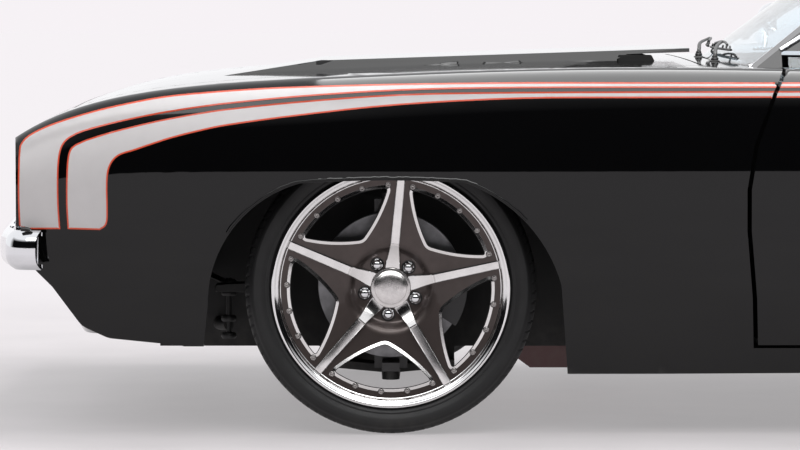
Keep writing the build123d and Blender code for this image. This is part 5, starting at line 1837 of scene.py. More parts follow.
@dataclass
class BrightWork:
    """The bumper faces, the mouldings round the glass, the mirrors and the door handles."""

    bumper_corner: float = 0.075
    half_width: float = 0.938
    moulding: float = 0.0075
    handle: Point3 = (-0.315, 0.906, 0.715)

    def blade(self, name: str, node: str, tip_x: float, side_x: float, low: float, high: float) -> None:
        """Makes one bumper's smooth blade with its rolled edges, over the model's bar.

        Args:
            name: The piece's name.
            node: The model's bumper.
            tip_x: The middle of its face.
            side_x: Where its side wings end.
            low: Its lower edge.
            high: Its upper edge.
        """
        sign = 1.0 if tip_x > 0 else -1.0
        turns = [
            (side_x - sign, self.half_width), (tip_x - sign * 0.052, self.half_width),
            (tip_x - sign * 0.040, 0.0),
        ]
        corner = rounded(turns, self.bumper_corner, 10)[11:22]
        path = [Vector((side_x, self.half_width - 0.004)), *[Vector(p) for p in corner]]
        for step in range(1, 13):
            y = corner[-1][1] * (1 - step / 12)
            path.append(Vector((tip_x - sign * 0.040 * (y / corner[-1][1]) ** 2, y)))
        path += [Vector((p.x, -p.y)) for p in reversed(path[:-1])]
        height = high - low
        section = []
        for step in range(15):
            t = step / 14
            bow = 0.010 - 0.018 * (2 * t - 1) ** 4 - 0.004 * (2 * t - 1) ** 2 - 0.010
            section.append((bow, low + height * t))
        section += [
            (-0.026, high - 0.004), (-0.026, high - 0.012), (-0.012, high - 0.014), (-0.010, low + 0.014),
            (-0.026, low + 0.012), (-0.026, low + 0.004),
        ]
        rows = []
        for i, point in enumerate(path):
            ahead = (path[min(i + 1, len(path) - 1)] - path[max(i - 1, 0)]).normalized()
            out = Vector((-ahead.y, ahead.x)) if sign < 0 else Vector((ahead.y, -ahead.x))
            if out.x * sign < 0 and abs(out.x) > 0.2 or (abs(out.x) <= 0.2 and out.y * point.y < 0):
                out = -out
            rows.append([(point.x + out.x * d, point.y + out.y * d, z) for d, z in section])
        mesh = Mesh().solid(rows)
        iron = rounded([(-0.05, -0.026), (0.05, -0.026), (0.05, 0.026), (-0.05, 0.026)], 0.008, 3)
        reach = (tip_x - sign * 0.28, tip_x - sign * 0.03)
        middle = (low + high) / 2
        for y in (0.36, -0.36):
            mesh.merge(block(iron, min(reach), max(reach), lambda a, b, x, y=y: (x, y + a * 0.5, middle + b)))
        piece = mesh.piece(name, Finishes.chrome, "root", "chrome", 40.0)
        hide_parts(node)

    def seal(self) -> None:
        """Makes the rubber strips between the front bumper's wings and the fenders."""
        line = ((2.2720, 0.474), (2.2520, 0.470), (2.2475, 0.440), (2.2420, 0.408), (2.2350, 0.386))
        mesh = Mesh()
        for side in (1, -1):
            path = smooth_path([(x - 0.004, side * (0.921 - (0.47 - z) * 0.10), z) for x, z in line], 5)
            mesh.merge(tube(path, 0.0065, 10, 0.8))
        mesh.piece("bumper_rubber_strips", Finishes.rubber, "root", "trim", 50.0)

    def surround(self, node: str, name: str, finish: Finish, lift: float) -> None:
        """Runs a moulding round a window, seen from the front or back.

        Args:
            node: The window's node.
            name: The piece's name.
            finish: The finish.
            lift: How far out it stands along X.
        """
        points = [v.co.copy() for v in frame["nodes"][node].data.vertices]
        points = sorted({(round(p.y, 4), round(p.z, 4), round(p.x, 4)) for p in points})
        hull: list[Point3] = []
        for ordered in (points, points[::-1]):
            chain: list[Point3] = []
            for p in ordered:
                while len(chain) > 1 and (
                    (chain[-1][0] - chain[-2][0]) * (p[1] - chain[-2][1])
                    - (chain[-1][1] - chain[-2][1]) * (p[0] - chain[-2][0])
                ) <= 0:
                    chain.pop()
                chain.append(p)
            hull += chain[:-1]
        ring = []
        for (y0, z0, x0), (y1, z1, x1) in zip(hull, hull[1:] + hull[:1]):
            count = max(1, round(math.dist((y0, z0), (y1, z1)) / 0.03))
            for i in range(count):
                x = x0 + (x1 - x0) * i / count + lift
                ring.append(Vector((x, y0 + (y1 - y0) * i / count, z0 + (z1 - z0) * i / count)))
        centre = sum(ring, Vector()) / len(ring)
        rows = []
        for i, point in enumerate(ring):
            ahead = (ring[(i + 1) % len(ring)] - ring[i - 1]).normalized()
            out = point - centre
            out = (out - ahead * out.dot(ahead)).normalized()
            over = ahead.cross(out)
            r = self.moulding
            turns = [math.tau * k / 10 for k in range(10)]
            rows.append([point + out * (r * math.cos(a)) + over * (r * 0.55 * math.sin(a)) for a in turns])
        Mesh().grid(rows, closed=True, looped=True).piece(name, finish, "root", "chrome", 60.0)

    def side_mouldings(self) -> None:
        """Makes the drip rails over the side windows and the belt mouldings along the doors' tops."""
        tree = search_tree(frame["nodes"]["roof_panel"].data)
        rail = [
            (0.545, 0.872), (0.44, 0.936), (0.32, 1.006), (0.20, 1.074), (0.12, 1.122), (0.02, 1.147),
            (-0.15, 1.160), (-0.32, 1.160), (-0.48, 1.146), (-0.58, 1.118), (-0.70, 1.030), (-0.84, 0.925),
        ]
        mesh = Mesh()
        for side in (1, -1):
            path = []
            for point in smooth_path([(x, 0.0, z) for x, z in rail], 6):
                hit, _ = seen_from_side(tree, side, point.x, point.z, 1.2, 0.9)
                if hit is not None:
                    path.append(hit + Vector((0.0, side * 0.002, 0.0)))
            mesh.merge(tube(path, 0.0065, 10, 0.9))
        mesh.piece("drip_rails", Finishes.chrome, "root", "chrome", 60.0)
        for word, side in SIDES:
            low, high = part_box(f"door_{word}")
            skin = search_tree(bpy.data.meshes[f"door_{word}_shell"])
            path = []
            for step in range(41):
                x = low[0] + 0.012 + (0.522 - low[0] - 0.012) * step / 40
                hit, _ = seen_from_side(skin, side, x, high[2] - 0.006, 1.2, 0.6)
                if hit is not None:
                    path.append((x, hit.y - side * 0.012, high[2] + 0.002))
            belt = tube(path, 0.007, 10, 0.8)
            belt.piece(f"belt_moulding_{word}", Finishes.chrome, f"door_{word}", "chrome", 60.0)

    def mirrors(self) -> None:
        """Makes the door mirrors."""
        # How far back, half width and half height of each ring of the shell
        shell = (
            (0.0, 0.004, 0.003), (0.006, 0.030, 0.022), (0.018, 0.048, 0.036), (0.034, 0.058, 0.043),
            (0.048, 0.060, 0.045), (0.052, 0.059, 0.044), (0.0525, 0.055, 0.040), (0.049, 0.053, 0.038),
            (0.049, 0.004, 0.003),
        )
        for word, side in SIDES:
            rows = []
            for t, width, height in shell:
                ring = []
                for k in range(28):
                    a = math.tau * k / 28
                    shape = (abs(math.cos(a)) ** 0.7 * math.copysign(1, math.cos(a)),
                             abs(math.sin(a)) ** 0.7 * math.copysign(1, math.sin(a)))
                    y, z = side * (0.905 + width * 0.95 * shape[0]), 0.925 + height * shape[1]
                    ring.append((0.455 - t, y, z))
                rows.append(ring)
            mesh = Mesh().solid(rows)
            stalk = ((0.435, side * 0.850, 0.842), (0.432, side * 0.862, 0.868), (0.432, side * 0.885, 0.900))
            mesh.merge(tube(smooth_path(stalk, 6), 0.009, 14, 0.7))
            foot = rounded([(-0.045, -0.013), (0.030, -0.011), (0.030, 0.011), (-0.045, 0.013)], 0.010, 4)
            mesh.merge(block(
                foot, -0.006, 0.004, lambda a, b, h, s=side: (0.438 + a, s * (0.850 + b), 0.842 + h), 0.002
            ))
            mesh.piece(f"door_mirror_{word}", Finishes.chrome, f"door_{word}", "chrome", 40.0)

    def handles(self) -> None:
        """Makes the door handles: an escutcheon, a pull bar on two feet and a push button."""
        ax, ay, az = self.handle
        plate = rounded([(-0.075, -0.014), (0.075, -0.014), (0.075, 0.014), (-0.075, 0.014)], 0.013, 5)
        bar = ((-0.062, 0.002), (-0.050, 0.024), (0.010, 0.028), (0.028, 0.024), (0.036, 0.002))
        knob = (
            (0.0, 0.014), (0.006, 0.0138), (0.0095, 0.0120), (0.0105, 0.0090), (0.0105, -0.002),
            (0.0, -0.002),
        )
        button = lathe(knob, 28, closed=False)
        for word, side in SIDES:
            mesh = block(
                plate, -0.006, 0.0035, lambda a, b, h, s=side: (ax + a, s * (ay + h), az + b), 0.0015
            )
            grip = smooth_path([(ax + x, side * (ay + out), az) for x, out in bar], 7)
            mesh.merge(tube(grip, 0.008, 14, 0.65))
            flip = Matrix.Scale(-1, 4, (0, 1, 0)) if side < 0 else Matrix.Identity(4)
            mesh.merge(button.moved(Matrix.Translation((ax + 0.056, side * ay, az)) @ flip))
            mesh.piece(f"door_handle_{word}", Finishes.chrome, f"door_{word}", "chrome", 40.0)

    def build(self) -> None:
        """Makes every bright piece."""
        self.blade("front_bumper_blade", "front_bumper", 2.361, 2.254, 0.381, 0.470)
        self.blade("rear_bumper_blade", "rear_bumper", -2.361, -2.262, 0.405, 0.500)
        self.seal()
        self.surround("windscreen", "windscreen_moulding", Finishes.chrome, 0.004)
        self.surround("rear_window", "rear_window_moulding", Finishes.chrome, -0.004)
        self.side_mouldings()
        self.mirrors()
        self.handles()


@dataclass
class CowlDetails:
    """The wipers on the cowl, with their pivots, arms, frames and blades."""

    pivot: Point3 = (0.664, 0.330, 0.836)
    spacing: float = 0.52

    def line(self, y: float, height: float, out: float) -> Vector:
        """Finds a place in front of the windscreen.

        Args:
            y: Its place across the car.
            height: Its height.
            out: How far in front of the glass it lies.

        Returns:
            The place.
        """
        return Vector((0.672 - 0.118 * y * y - (height - 0.834) * 1.10 + out, y, height))

    def build(self) -> None:
        """Makes both wipers."""
        arms, blades = Mesh(), Mesh()
        for shift in (0.0, -self.spacing):
            x, y, z = self.pivot
            y += shift
            for r, low, high in ((0.0125, -0.006, 0.004), (0.009, 0.004, 0.011), (0.007, 0.011, 0.016)):
                profile = ((0.0, high), (r * 0.8, high), (r, high - 0.002), (r, low), (0.0, low))
                cone = lathe(profile, 20, closed=False)
                arms.merge(cone.moved(Matrix.Translation((x, y, z)) @ Matrix.Rotation(math.pi / 2, 4, "X")))
            middle = y - 0.155
            tip = self.line(middle, 0.882, 0.020)
            arm = (
                (x, y, z + 0.010), (x - 0.002, y - 0.012, z + 0.022), (x - 0.010, y - 0.075, 0.872),
                tuple(tip),
            )
            arms.merge(tube(smooth_path(arm, 6), 0.0048, 8, 0.7))
            bow = []
            for t in (-0.12, -0.06, 0.0, 0.06, 0.12):
                bow.append(self.line(middle + t, 0.876 + 0.006 * (1 - (t / 0.12) ** 2), 0.016))
            arms.merge(tube(smooth_path(bow, 5), 0.0032, 8))
            for foot in (-0.17, -0.12, -0.06, 0.06, 0.12, 0.17):
                ends = [self.line(middle + foot, 0.874, 0.015), self.line(middle + foot * 1.03, 0.867, 0.009)]
                arms.merge(tube(ends, 0.0024, 6))
            edge = [self.line(middle - 0.20 + 0.40 * i / 20, 0.8655, 0.0085) for i in range(21)]
            blades.merge(tube(edge, 0.0036, 8, 0.8))
        arms.piece("wiper_arms", Finishes.grille, "root", "trim", 50.0)
        blades.piece("wiper_blades", Finishes.rubber, "root", "trim", 50.0)


@dataclass
class ArchFlares:
    """The rolled lips that follow the front wheel arches."""

    centre: Point2 = (1.437, 0.332)
    # Where the search for the edge starts, and the lip's first angle, its end and the step, in degrees
    least_radius: float = 0.236
    sweep: tuple[int, int, int] = (-62, 71, 2)

    def build(self) -> None:
        """Makes a lip along each front arch, read off the fender's own edge."""
        for word, side in SIDES:
            skin = search_tree(bpy.data.meshes[f"front_fender_{word}_shell"])
            path = []
            for degrees in range(*self.sweep):
                ahead, up = math.sin(math.radians(degrees)), math.cos(math.radians(degrees))
                for k in range(110):
                    r = self.least_radius + 0.002 * k
                    x, z = self.centre[0] + r * ahead, self.centre[1] + r * up
                    hit, _ = seen_from_side(skin, side, x, z, 1.2, 0.36)
                    if hit is not None:
                        path.append(hit + Vector((0.005 * ahead, -side * 0.0015, 0.005 * up)))
                        break
            if len(path) > 8:
                tube(path, 0.0045, 8, 0.9).piece(f"arch_lip_{word}", Finishes.body, "root", "paint", 60.0)


@dataclass
class ScoopThroat:
    """The dark slatted duct that shows in the scoop's rear mouth."""

    front: float = 0.893
    rear: float = 0.800
    half: float = 0.272
    low: float = 0.829
    high: float = 0.852
    slats: int = 4

    def build(self) -> None:
        """Makes the duct's frame and its slats."""
        mesh = Mesh()
        for side in (1, -1):
            corners = (
                (self.rear, self.low), (self.front, self.low), (self.front, self.high),
                (self.rear + 0.012, self.high),
            )
            cheek = rounded(corners, 0.006, 4)
            edge = side * self.half
            mesh.merge(block(cheek, -0.004, 0.004, lambda a, b, h, e=edge: (a, e + h, b), 0.001))
        for k in range(self.slats):
            x = self.rear + 0.016 + (self.front - self.rear - 0.03) * k / (self.slats - 1)
            corners = ((x, self.low), (x + 0.004, self.low), (x + 0.012, self.high), (x + 0.008, self.high))
            slat = rounded(corners, 0.0015, 2)
            mesh.merge(block(slat, -self.half, self.half, lambda a, b, h: (a, h, b)))
        mesh.piece("scoop_throat", Finishes.rubber, "hood", "trim", 40.0)


@dataclass
class AntiRollBar:
    """The bar across the car ahead of the front wheels, with its end links and clamps."""

    place: Point2 = (1.845, 0.225)
    half: float = 0.600
    radius: float = 0.012

    def build(self) -> None:
        """Makes the bar, its links with their bushes, and the clamps to the frame."""
        x, z = self.place
        bar, links = Mesh(), Mesh()
        path = (
            (x - 0.03, -self.half, z + 0.004), (x - 0.01, -self.half + 0.05, z), (x, -self.half + 0.14, z),
            (x, 0.0, z), (x, self.half - 0.14, z), (x - 0.01, self.half - 0.05, z),
            (x - 0.03, self.half, z + 0.004),
        )
        bar.merge(tube(smooth_path(path, 8), self.radius, 14))
        profile = (
            (0.0, 0.007), (0.015, 0.007), (0.018, 0.003), (0.018, -0.003), (0.015, -0.007), (0.0, -0.007),
        )
        bush = lathe(profile, 24, closed=False)
        plate = ((-0.045, -0.008), (0.030, -0.008), (0.030, 0.008), (-0.020, 0.012), (-0.045, 0.012))
        clamp = rounded([(-0.024, -0.020), (0.024, -0.020), (0.024, 0.052), (-0.024, 0.052)], 0.010, 4)
        for side in (1, -1):
            y = side * self.half
            links.merge(tube([(x - 0.03, y, z - 0.028), (x - 0.03, y, z + 0.115)], 0.0065, 12))
            for height in (-0.020, 0.020, 0.080, 0.104):
                place = Matrix.Translation((x - 0.03, y, z + height)) @ Matrix.Rotation(math.pi / 2, 4, "X")
                links.merge(bush.moved(place))
            links.merge(block(
                rounded(plate, 0.004, 3), -0.035, 0.035,
                lambda a, b, h, y=y: (x - 0.03 + a, y + h, z + 0.092 + b), 0.002,
            ))
            strap = (
                (x - 0.03 - 0.012, side * 0.585, z + 0.095), (x + 0.03, side * 0.50, z + 0.12),
                (x + 0.06, side * 0.415, z + 0.13),
            )
            links.merge(tube(smooth_path(strap, 6), 0.012, 10, 0.5))
            links.merge(block(
                clamp, -0.018, 0.018, lambda a, b, h, c=side * 0.36: (x + a, c + h, z + b), 0.003
            ))
        bar.piece("anti_roll_bar", Finishes.under, "root", "under_black", 50.0)
        links.piece("anti_roll_links", Finishes.rubber, "root", "under_black", 40.0)


@dataclass
class SplashAprons:
    """The ribbed black aprons between each front wheel and the engine bay."""

    half_track: float = 0.432
    front: float = 1.985
    rear: float = 0.93
    low: float = 0.165
    high: float = 0.64
    ribs: int = 7

    def build(self) -> None:
        """Makes both aprons."""
        mesh = Mesh()
        for side in (1, -1):
            rows = []
            for i in range(71):
                x = self.rear + (self.front - self.rear) * i / 70
                swell = 0.006 * max(0.0, math.cos(math.tau * self.ribs * i / 70)) ** 3
                front, back = [], []
                for j in range(9):
                    z = self.low + (self.high - self.low) * j / 8
                    y = self.half_track + (swell if 0 < j < 8 else 0.0)
                    front.append((x, side * (y + 0.0015), z))
                    back.append((x, side * (y - 0.0015), z))
                rows.append(front + back[::-1])
            mesh.solid(rows)
        mesh.piece("splash_aprons", Finishes.under, "root", "under_black", 40.0)


# Lamps


@dataclass
class Lamps:
    """What surrounds the model's lamps: bezels and bowls."""

    head_place: Point2 = (0.700, 0.562)
    head_radius: float = 0.070
    tail_inner: float = 0.30

    def head(self) -> None:
        """Makes the headlamps' chrome rings and silvered bowls."""
        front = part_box("headlamps")[1][0]
        rings, bowls = Mesh(), Mesh()
        r = self.head_radius
        profile = (
            (r - 0.002, 0.004), (r + 0.001, 0.008), (r + 0.006, 0.008), (r + 0.010, 0.003),
            (r + 0.010, -0.016), (r - 0.002, -0.016),
        )
        ring = lathe(profile, 72)
        dish = (
            (0.0, -0.046), (0.02, -0.044), (0.045, -0.034), (0.060, -0.020), (0.0655, -0.006),
            (0.0670, -0.006), (0.062, -0.022), (0.046, -0.037), (0.02, -0.048), (0.0, -0.050),
        )
        bowl = lathe(dish, 60, closed=False)
        turn = Matrix.Rotation(-math.pi / 2, 4, "Z")
        for side in (1, -1):
            place = Matrix.Translation((front, side * self.head_place[0], self.head_place[1])) @ turn
            rings.merge(ring.moved(place))
            bowls.merge(bowl.moved(place))
        rings.piece("headlamp_rings", Finishes.chrome, "root", "chrome", 40.0)
        bowls.piece("headlamp_bowls", Finishes.lip, "root", "chrome", 40.0)

    def tail(self) -> None:
        """Makes a chrome frame round each tail lamp, with its dividing bars."""
        low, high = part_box("tail_lamps")
        x = low[0] - 0.001
        mesh = Mesh()
        for side in (1, -1):
            y0, y1 = self.tail_inner, high[1] + 0.004
            z0, z1 = low[2] - 0.004, high[2] + 0.004
            corners = rounded([(y0, z0), (y1, z0), (y1, z1), (y0, z1)], 0.012, 4)
            mesh.merge(tube([(x, side * y, z) for y, z in [*corners, corners[0]]], 0.005, 10))
            for share in (1 / 3, 2 / 3):
                y = y0 + (y1 - y0) * share
                mesh.merge(tube([(x, side * y, z0), (x, side * y, z1)], 0.004, 8))
        mesh.piece("tail_lamp_frames", Finishes.chrome, "root", "chrome", 40.0)

    def build(self) -> None:
        """Makes every lamp's surround."""
        self.head()
        self.tail()


# Cabin


@dataclass
class SoftSeat:
    """A padded seat part: an outline seen from the side, carried across the car, with sewn channels."""

    name: str
    outline: Outline
    middle: float
    half: float
    channels: int = 5
    crown: float = 0.016
    groove: float = 0.008
    corner: float = 0.055
    step: float = 0.014

    def ring(self, across: float) -> list[Point3]:
        """Draws the padded outline at one place across the seat.

        Args:
            across: The place, from -1 at one side to 1 at the other.

        Returns:
            The ring's points.
        """
        even = stepped(rounded(self.outline, self.corner, 7), self.step, 0.0008)
        centre = Vector((sum(p[0] for p in even) / len(even), sum(p[1] for p in even) / len(even)))
        seam = abs(((across * 0.5 + 0.5) * self.channels) % 1.0 - 0.5)
        dip = self.groove * math.exp(-(((0.5 - seam) * 2 * self.half / self.channels / 0.007) ** 2))
        inside = dip if abs(across) < 1 - 0.6 / self.channels else 0.0
        shrink = 0.045 * max(0.0, (abs(across) - 0.80) / 0.20) ** 2.4
        points = []
        for i, (x, z) in enumerate(even):
            (ax, az), (bx, bz) = even[i - 1], even[(i + 1) % len(even)]
            length = math.hypot(bx - ax, bz - az)
            out = Vector(((bz - az) / length, -(bx - ax) / length))
            if out.dot(Vector((x, z)) - centre) < 0:
                out = -out
            reach = self.crown * (1 - across * across) - inside - shrink
            points.append((x + out.x * reach, self.middle + across * self.half, z + out.y * reach))
        return points

    def build(self) -> bpy.types.Object:
        """Makes the pad, closed at both sides, with piping along its side seams.

        Returns:
            The pad.
        """
        count = self.channels * 12
        rows = [self.ring(-1 + 2 * i / count) for i in range(count + 1)]
        mesh = Mesh().grid(rows, closed=True)
        for row in (rows[0][::-1], rows[-1]):
            centre = sum((Vector(p) for p in row), Vector()) / len(row)
            rings = [[tuple(centre.lerp(Vector(p), s)) for p in row] for s in (1.0, 0.8, 0.5, 0.2)]
            mesh.grid(rings, closed=True).cap(rings[-1])
        for across in (-0.93, 0.93):
            line = self.ring(across)
            mesh.merge(tube([*line, line[0]], 0.0042, 8))
        piece = mesh.piece(self.name, Finishes.leather, "root", "leather", 50.0)
        return piece


class Cabin:
    """The seats, the dials and the carpet."""

    # Outlines of (x, z) seen from the side
    front_cushion: Outline = (
        (0.235, 0.232), (0.245, 0.385), (0.205, 0.418), (-0.225, 0.384), (-0.235, 0.232),
    )
    front_back: Outline = (
        (-0.140, 0.418), (-0.322, 0.905), (-0.395, 0.912), (-0.412, 0.860), (-0.262, 0.350), (-0.225, 0.400),
    )
    rear_cushion: Outline = (
        (-0.480, 0.235), (-0.478, 0.390), (-0.505, 0.405), (-0.800, 0.372), (-0.860, 0.235),
    )
    rear_back: Outline = (
        (-0.760, 0.385), (-0.895, 0.785), (-0.955, 0.785), (-0.950, 0.700), (-0.870, 0.385),
    )

    def seats(self) -> None:
        """Makes both front seats and the rear bench, and puts them in the model's place."""
        for word, side in SIDES:
            cushion = SoftSeat(f"front_cushion_{word}", self.front_cushion, side * 0.374, 0.236).build()
            SoftSeat(f"front_back_{word}", self.front_back, side * 0.374, 0.216, crown=0.012).build()
            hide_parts(f"front_seat_{word}")
        for word, side in SIDES:
            bench = SoftSeat(
                f"rear_cushion_{word}", self.rear_cushion, side * 0.352, 0.216, crown=0.012
            ).build()
        SoftSeat("rear_back", self.rear_back, 0.0, 0.565, channels=12, crown=0.010).build()
        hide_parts("rear_seat")

    def dials(self) -> None:
        """Makes the round instruments: a chrome ring, a pale face, ticks and a hand each."""
        low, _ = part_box("dashboard")
        tree = search_tree(frame["nodes"]["dashboard"].data)
        rings, faces, marks = Mesh(), Mesh(), Mesh()
        for y, radius in ((0.455, 0.050), (0.285, 0.050), (0.545, 0.026), (0.370, 0.026), (0.200, 0.026)):
            hit = tree.ray_cast(Vector((low[0] - 0.2, y, 0.700)), Vector((1.0, 0.0, 0.0)), 0.9)[0]
            if hit is None:
                continue
            proud = Matrix.Translation(hit + Vector((-0.001, 0.0, 0.0)))
            place = proud @ Matrix.Rotation(math.pi / 2, 4, "Z")
            profile = (
                (radius, 0.0), (radius, 0.008), (radius + 0.003, 0.010), (radius + 0.007, 0.006),
                (radius + 0.007, 0.0),
            )
            rings.merge(lathe(profile, 48).moved(place))
            face = lathe([(0.0, 0.0030), (radius, 0.0030), (radius, 0.001), (0.0, 0.001)], 40, closed=False)
            faces.merge(face.moved(place))
            for i in range(11):
                angle = math.radians(-130 + 26 * i)
                inner, outer = radius * 0.78, radius * 0.92
                ends = [(r * math.sin(angle), 0.0036, r * math.cos(angle)) for r in (inner, outer)]
                marks.merge(tube(ends, 0.0010, 6).moved(place))
            angle = math.radians(-70)
            hand = [(r * math.sin(angle), 0.0045, r * math.cos(angle)) for r in (0.0, radius * 0.7)]
            marks.merge(tube(hand, 0.0013, 6).moved(place))
        rings.piece("dial_rings", Finishes.chrome, "root", "chrome", 40.0)
        faces.piece("dial_faces", Finishes.white_dial, "root", "trim", 40.0)
        marks.piece("dial_marks", Finishes.rubber, "root", "trim", 40.0)

    def carpet(self) -> None:
        """Lays the carpet on the floor, following the model's floor pan."""
        tree = search_tree(frame["nodes"]["floor_pan"].data)
        rows = []
        for i in range(45):
            x = -0.46 + 1.02 * i / 44
            row = []
            for j in range(61):
                y = -0.735 + 1.47 * j / 60
                hit = tree.ray_cast(Vector((x, y, 0.60)), Vector((0.0, 0.0, -1.0)), 0.6)[0]
                row.append((x, y, (hit.z if hit is not None else 0.21) + 0.006))
            rows.append(row)
        mesh = Mesh().grid(rows)
        mesh.piece("carpet", Finishes.carpet, "root", "trim", 60.0)

    def build(self) -> None:
        """Makes the cabin's pieces."""
        self.seats()
        self.dials()
        self.carpet()


@dataclass
class AirCleaner:
    """The round air cleaner on the engine, under the scoop."""

    centre: Point3 = (1.18, 0.0, 0.738)
    radius: float = 0.165

    def build(self) -> None:
        """Makes its lid, base, pleated filter and wing nut."""
        r = self.radius
        turn = Matrix.Translation(self.centre) @ Matrix.Rotation(math.pi / 2, 4, "X")
        lid = (
            (0.0, 0.050), (0.030, 0.050), (0.040, 0.046), (0.120, 0.047), (r - 0.004, 0.043), (r, 0.039),
            (r, 0.034), (r - 0.012, 0.034), (0.0, 0.040),
        )
        base = ((0.0, -0.002), (r - 0.02, -0.002), (r, 0.003), (r, 0.007), (r - 0.014, 0.008), (0.0, 0.002))
        nut = ((0.0, 0.064), (0.006, 0.063), (0.009, 0.057), (0.009, 0.049), (0.0, 0.049))
        housing = Mesh()
        for profile, count in ((lid, 96), (base, 96), (nut, 20)):
            housing.merge(lathe(profile, count, closed=False))
        housing.moved(turn).piece("air_cleaner", Finishes.chrome, "root", "engine", 40.0)
        rows = []
        for i in range(180):
            a = math.tau * i / 180
            reach = r - 0.016 - (0.004 if i % 2 else 0.0)
            section = ((reach, 0.007), (reach, 0.034), (0.1, 0.034), (0.1, 0.007))
            rows.append([(s * math.sin(a), y, s * math.cos(a)) for s, y in section])
        pleats = Mesh().grid(rows, closed=True, looped=True).moved(turn)
        pleats.piece("air_filter", Finishes.white_dial, "root", "engine", 30.0)


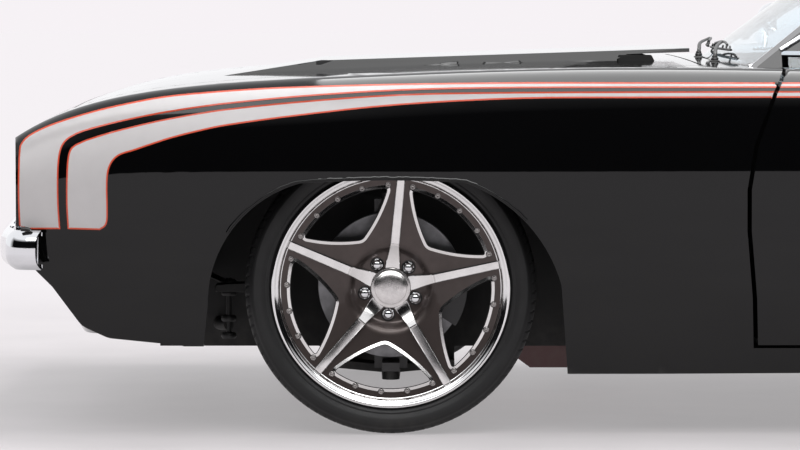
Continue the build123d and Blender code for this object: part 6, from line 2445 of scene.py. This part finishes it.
@dataclass
class Studio:
    """The pale floor, the soft lights and the camera at the photograph's angle."""

    camera_place: Point3 = (1.416, 9.935, 1.05)
    camera_pitch: float = 3.6
    focal_pixels: float = 4018.0
    picture_width: float = 800.0
    sensor: float = 36.0
    floor_half: float = 60.0
    # The car's shade on the floor: half the length of its middle line, then where it starts to fade and ends
    shade_half: float = 1.9
    shade_ramp: Point2 = (1.0, 3.6)
    backdrop: Color = (0.882, 0.848, 0.873)
    far_wall: Color = (0.925, 0.887, 0.915)
    # Painted light: the floor near the car glows with this colour, which lightens the car's shadow
    painted_fill_glow: Color = (0.36, 0.35, 0.355)

    def floor(self) -> None:
        """Lays the floor, with a painted glow near the car that lightens the car's shadow."""
        mesh = bpy.data.meshes.new("studio_floor")
        half = self.floor_half
        corners = [(-half, -half, 0), (half, -half, 0), (half, half, 0), (-half, half, 0)]
        mesh.from_pydata(corners, [], [(0, 1, 2, 3)])
        floor = added("studio_floor", mesh)
        material = bpy.data.materials.new("Floor")
        material.use_nodes = True
        tree = ShaderTree(material.node_tree)
        shader = material.node_tree.nodes["Principled BSDF"]
        place = tree.add("ShaderNodeTexCoord").outputs["Object"]
        noise = tree.add("ShaderNodeTexNoise", {"Vector": place, "Scale": 3.0, "Detail": 8.0}).outputs[0]
        color = tree.blend(tree.ramp(noise, 0.35, 0.7), (0.23, 0.215, 0.22), (0.19, 0.178, 0.182))
        axes = tree.add("ShaderNodeSeparateXYZ", {"Vector": place})
        past = tree.math("SUBTRACT", tree.math("ABSOLUTE", axes.outputs["X"]), self.shade_half)
        along = tree.math("POWER", tree.math("MAXIMUM", past, 0.0), 2.0)
        across = tree.math("POWER", axes.outputs["Y"], 2.0)
        reach = tree.math("SQRT", tree.math("ADD", along, across))
        far = tree.ramp(reach, *self.shade_ramp)
        # Near the car the floor glows with painted fill light that lightens the car's shadow; far off it
        # glows evenly as the backdrop
        glow = tree.blend(far, self.painted_fill_glow, self.backdrop)
        tree.link(tree.blend(far, color, (0.0, 0.0, 0.0)), shader.inputs["Base Color"])
        tree.link(glow, shader.inputs["Emission Color"])
        shader.inputs["Emission Strength"].default_value = 1.0
        tree.link(tree.math("ADD", tree.math("MULTIPLY", far, 0.45), 0.55), shader.inputs["Roughness"])
        shader.inputs["Specular IOR Level"].default_value = 0.12
        mesh.materials.append(material)

    def world(self) -> None:
        """Makes the surroundings: a white wall and ceiling, and a dark room on the camera's side."""
        world = bpy.data.worlds.new("Studio")
        bpy.context.scene.world = world
        world.use_nodes = True
        tree = ShaderTree(world.node_tree)
        background = world.node_tree.nodes["Background"]
        place = tree.add("ShaderNodeTexCoord").outputs["Generated"]
        axes = tree.add("ShaderNodeSeparateXYZ", {"Vector": place})
        wall = tree.ramp(axes.outputs["Y"], 0.12, -0.25)
        ceiling = tree.ramp(axes.outputs["Z"], 0.38, 0.62)
        light = tree.math("MAXIMUM", wall, ceiling)
        glow = tree.blend(light, (0.004, 0.004, 0.0045), (1.05, 1.05, 1.07))
        seen = tree.add("ShaderNodeLightPath").outputs["Is Camera Ray"]
        color = tree.blend(seen, glow, self.far_wall)
        tree.link(color, background.inputs["Color"])
        background.inputs["Strength"].default_value = 1.0

    def lamp(self, name: str, place: Point3, size: Point2, power: float) -> None:
        """Hangs one soft box that faces the car's middle.

        Args:
            name: The lamp's name.
            place: Its place.
            size: Its width and length.
            power: Its power in watts.
        """
        data = bpy.data.lights.new(name, "AREA")
        data.shape = "RECTANGLE"
        data.size, data.size_y = size
        data.energy = power
        aim = Vector((0.3, 0.0, 0.3)) - Vector(place)
        turn = aim.to_track_quat("-Z", "Y").to_matrix().to_4x4()
        added(name, data).matrix_world = Matrix.Translation(place) @ turn

    def camera(self) -> None:
        """Places the camera where the photograph was taken."""
        data = bpy.data.cameras.new("camera")
        data.sensor_width = self.sensor
        data.lens = self.focal_pixels * self.sensor / self.picture_width
        data.clip_end = 200.0
        camera = added("camera", data)
        pitch = Matrix.Rotation(math.radians(90 - self.camera_pitch), 4, "X")
        turn = Matrix.Rotation(math.pi, 4, "Z") @ pitch
        camera.matrix_world = Matrix.Translation(self.camera_place) @ turn
        bpy.context.scene.camera = camera

    def build(self) -> None:
        """Sets up floor, surroundings, lights and camera."""
        self.floor()
        self.world()
        self.lamp("ceiling_box", (0.4, 0.0, 5.2), (7.0, 3.2), 420.0)
        self.lamp("side_box", (1.2, 6.0, 5.0), (8.0, 2.4), 220.0)
        self.camera()
        bpy.context.scene.view_settings.view_transform = "Standard"
        log.info("studio ready")


def main() -> None:
    """Builds the car's looks in order."""
    logging.basicConfig(level=logging.INFO, format="%(message)s")
    Studio().build()
    Bodywork().build()
    shape = BodyShape()
    Panels(shape).build()
    for side in (1, -1):
        Wheel("front", (1.437, side * 0.740, 0.332), 0.105, 0.332, 0.114).build()
        Wheel("rear", (-1.308, side * 0.752, 0.340), 0.130, 0.340, 0.138).build()
    Stripes().build()
    BrightWork().build()
    CowlDetails().build()
    ArchFlares().build()
    ScoopThroat().build()
    AntiRollBar().build()
    SplashAprons().build()
    Lamps().build()
    Cabin().build()
    AirCleaner().build()


if __name__ == "__main__":
    main()
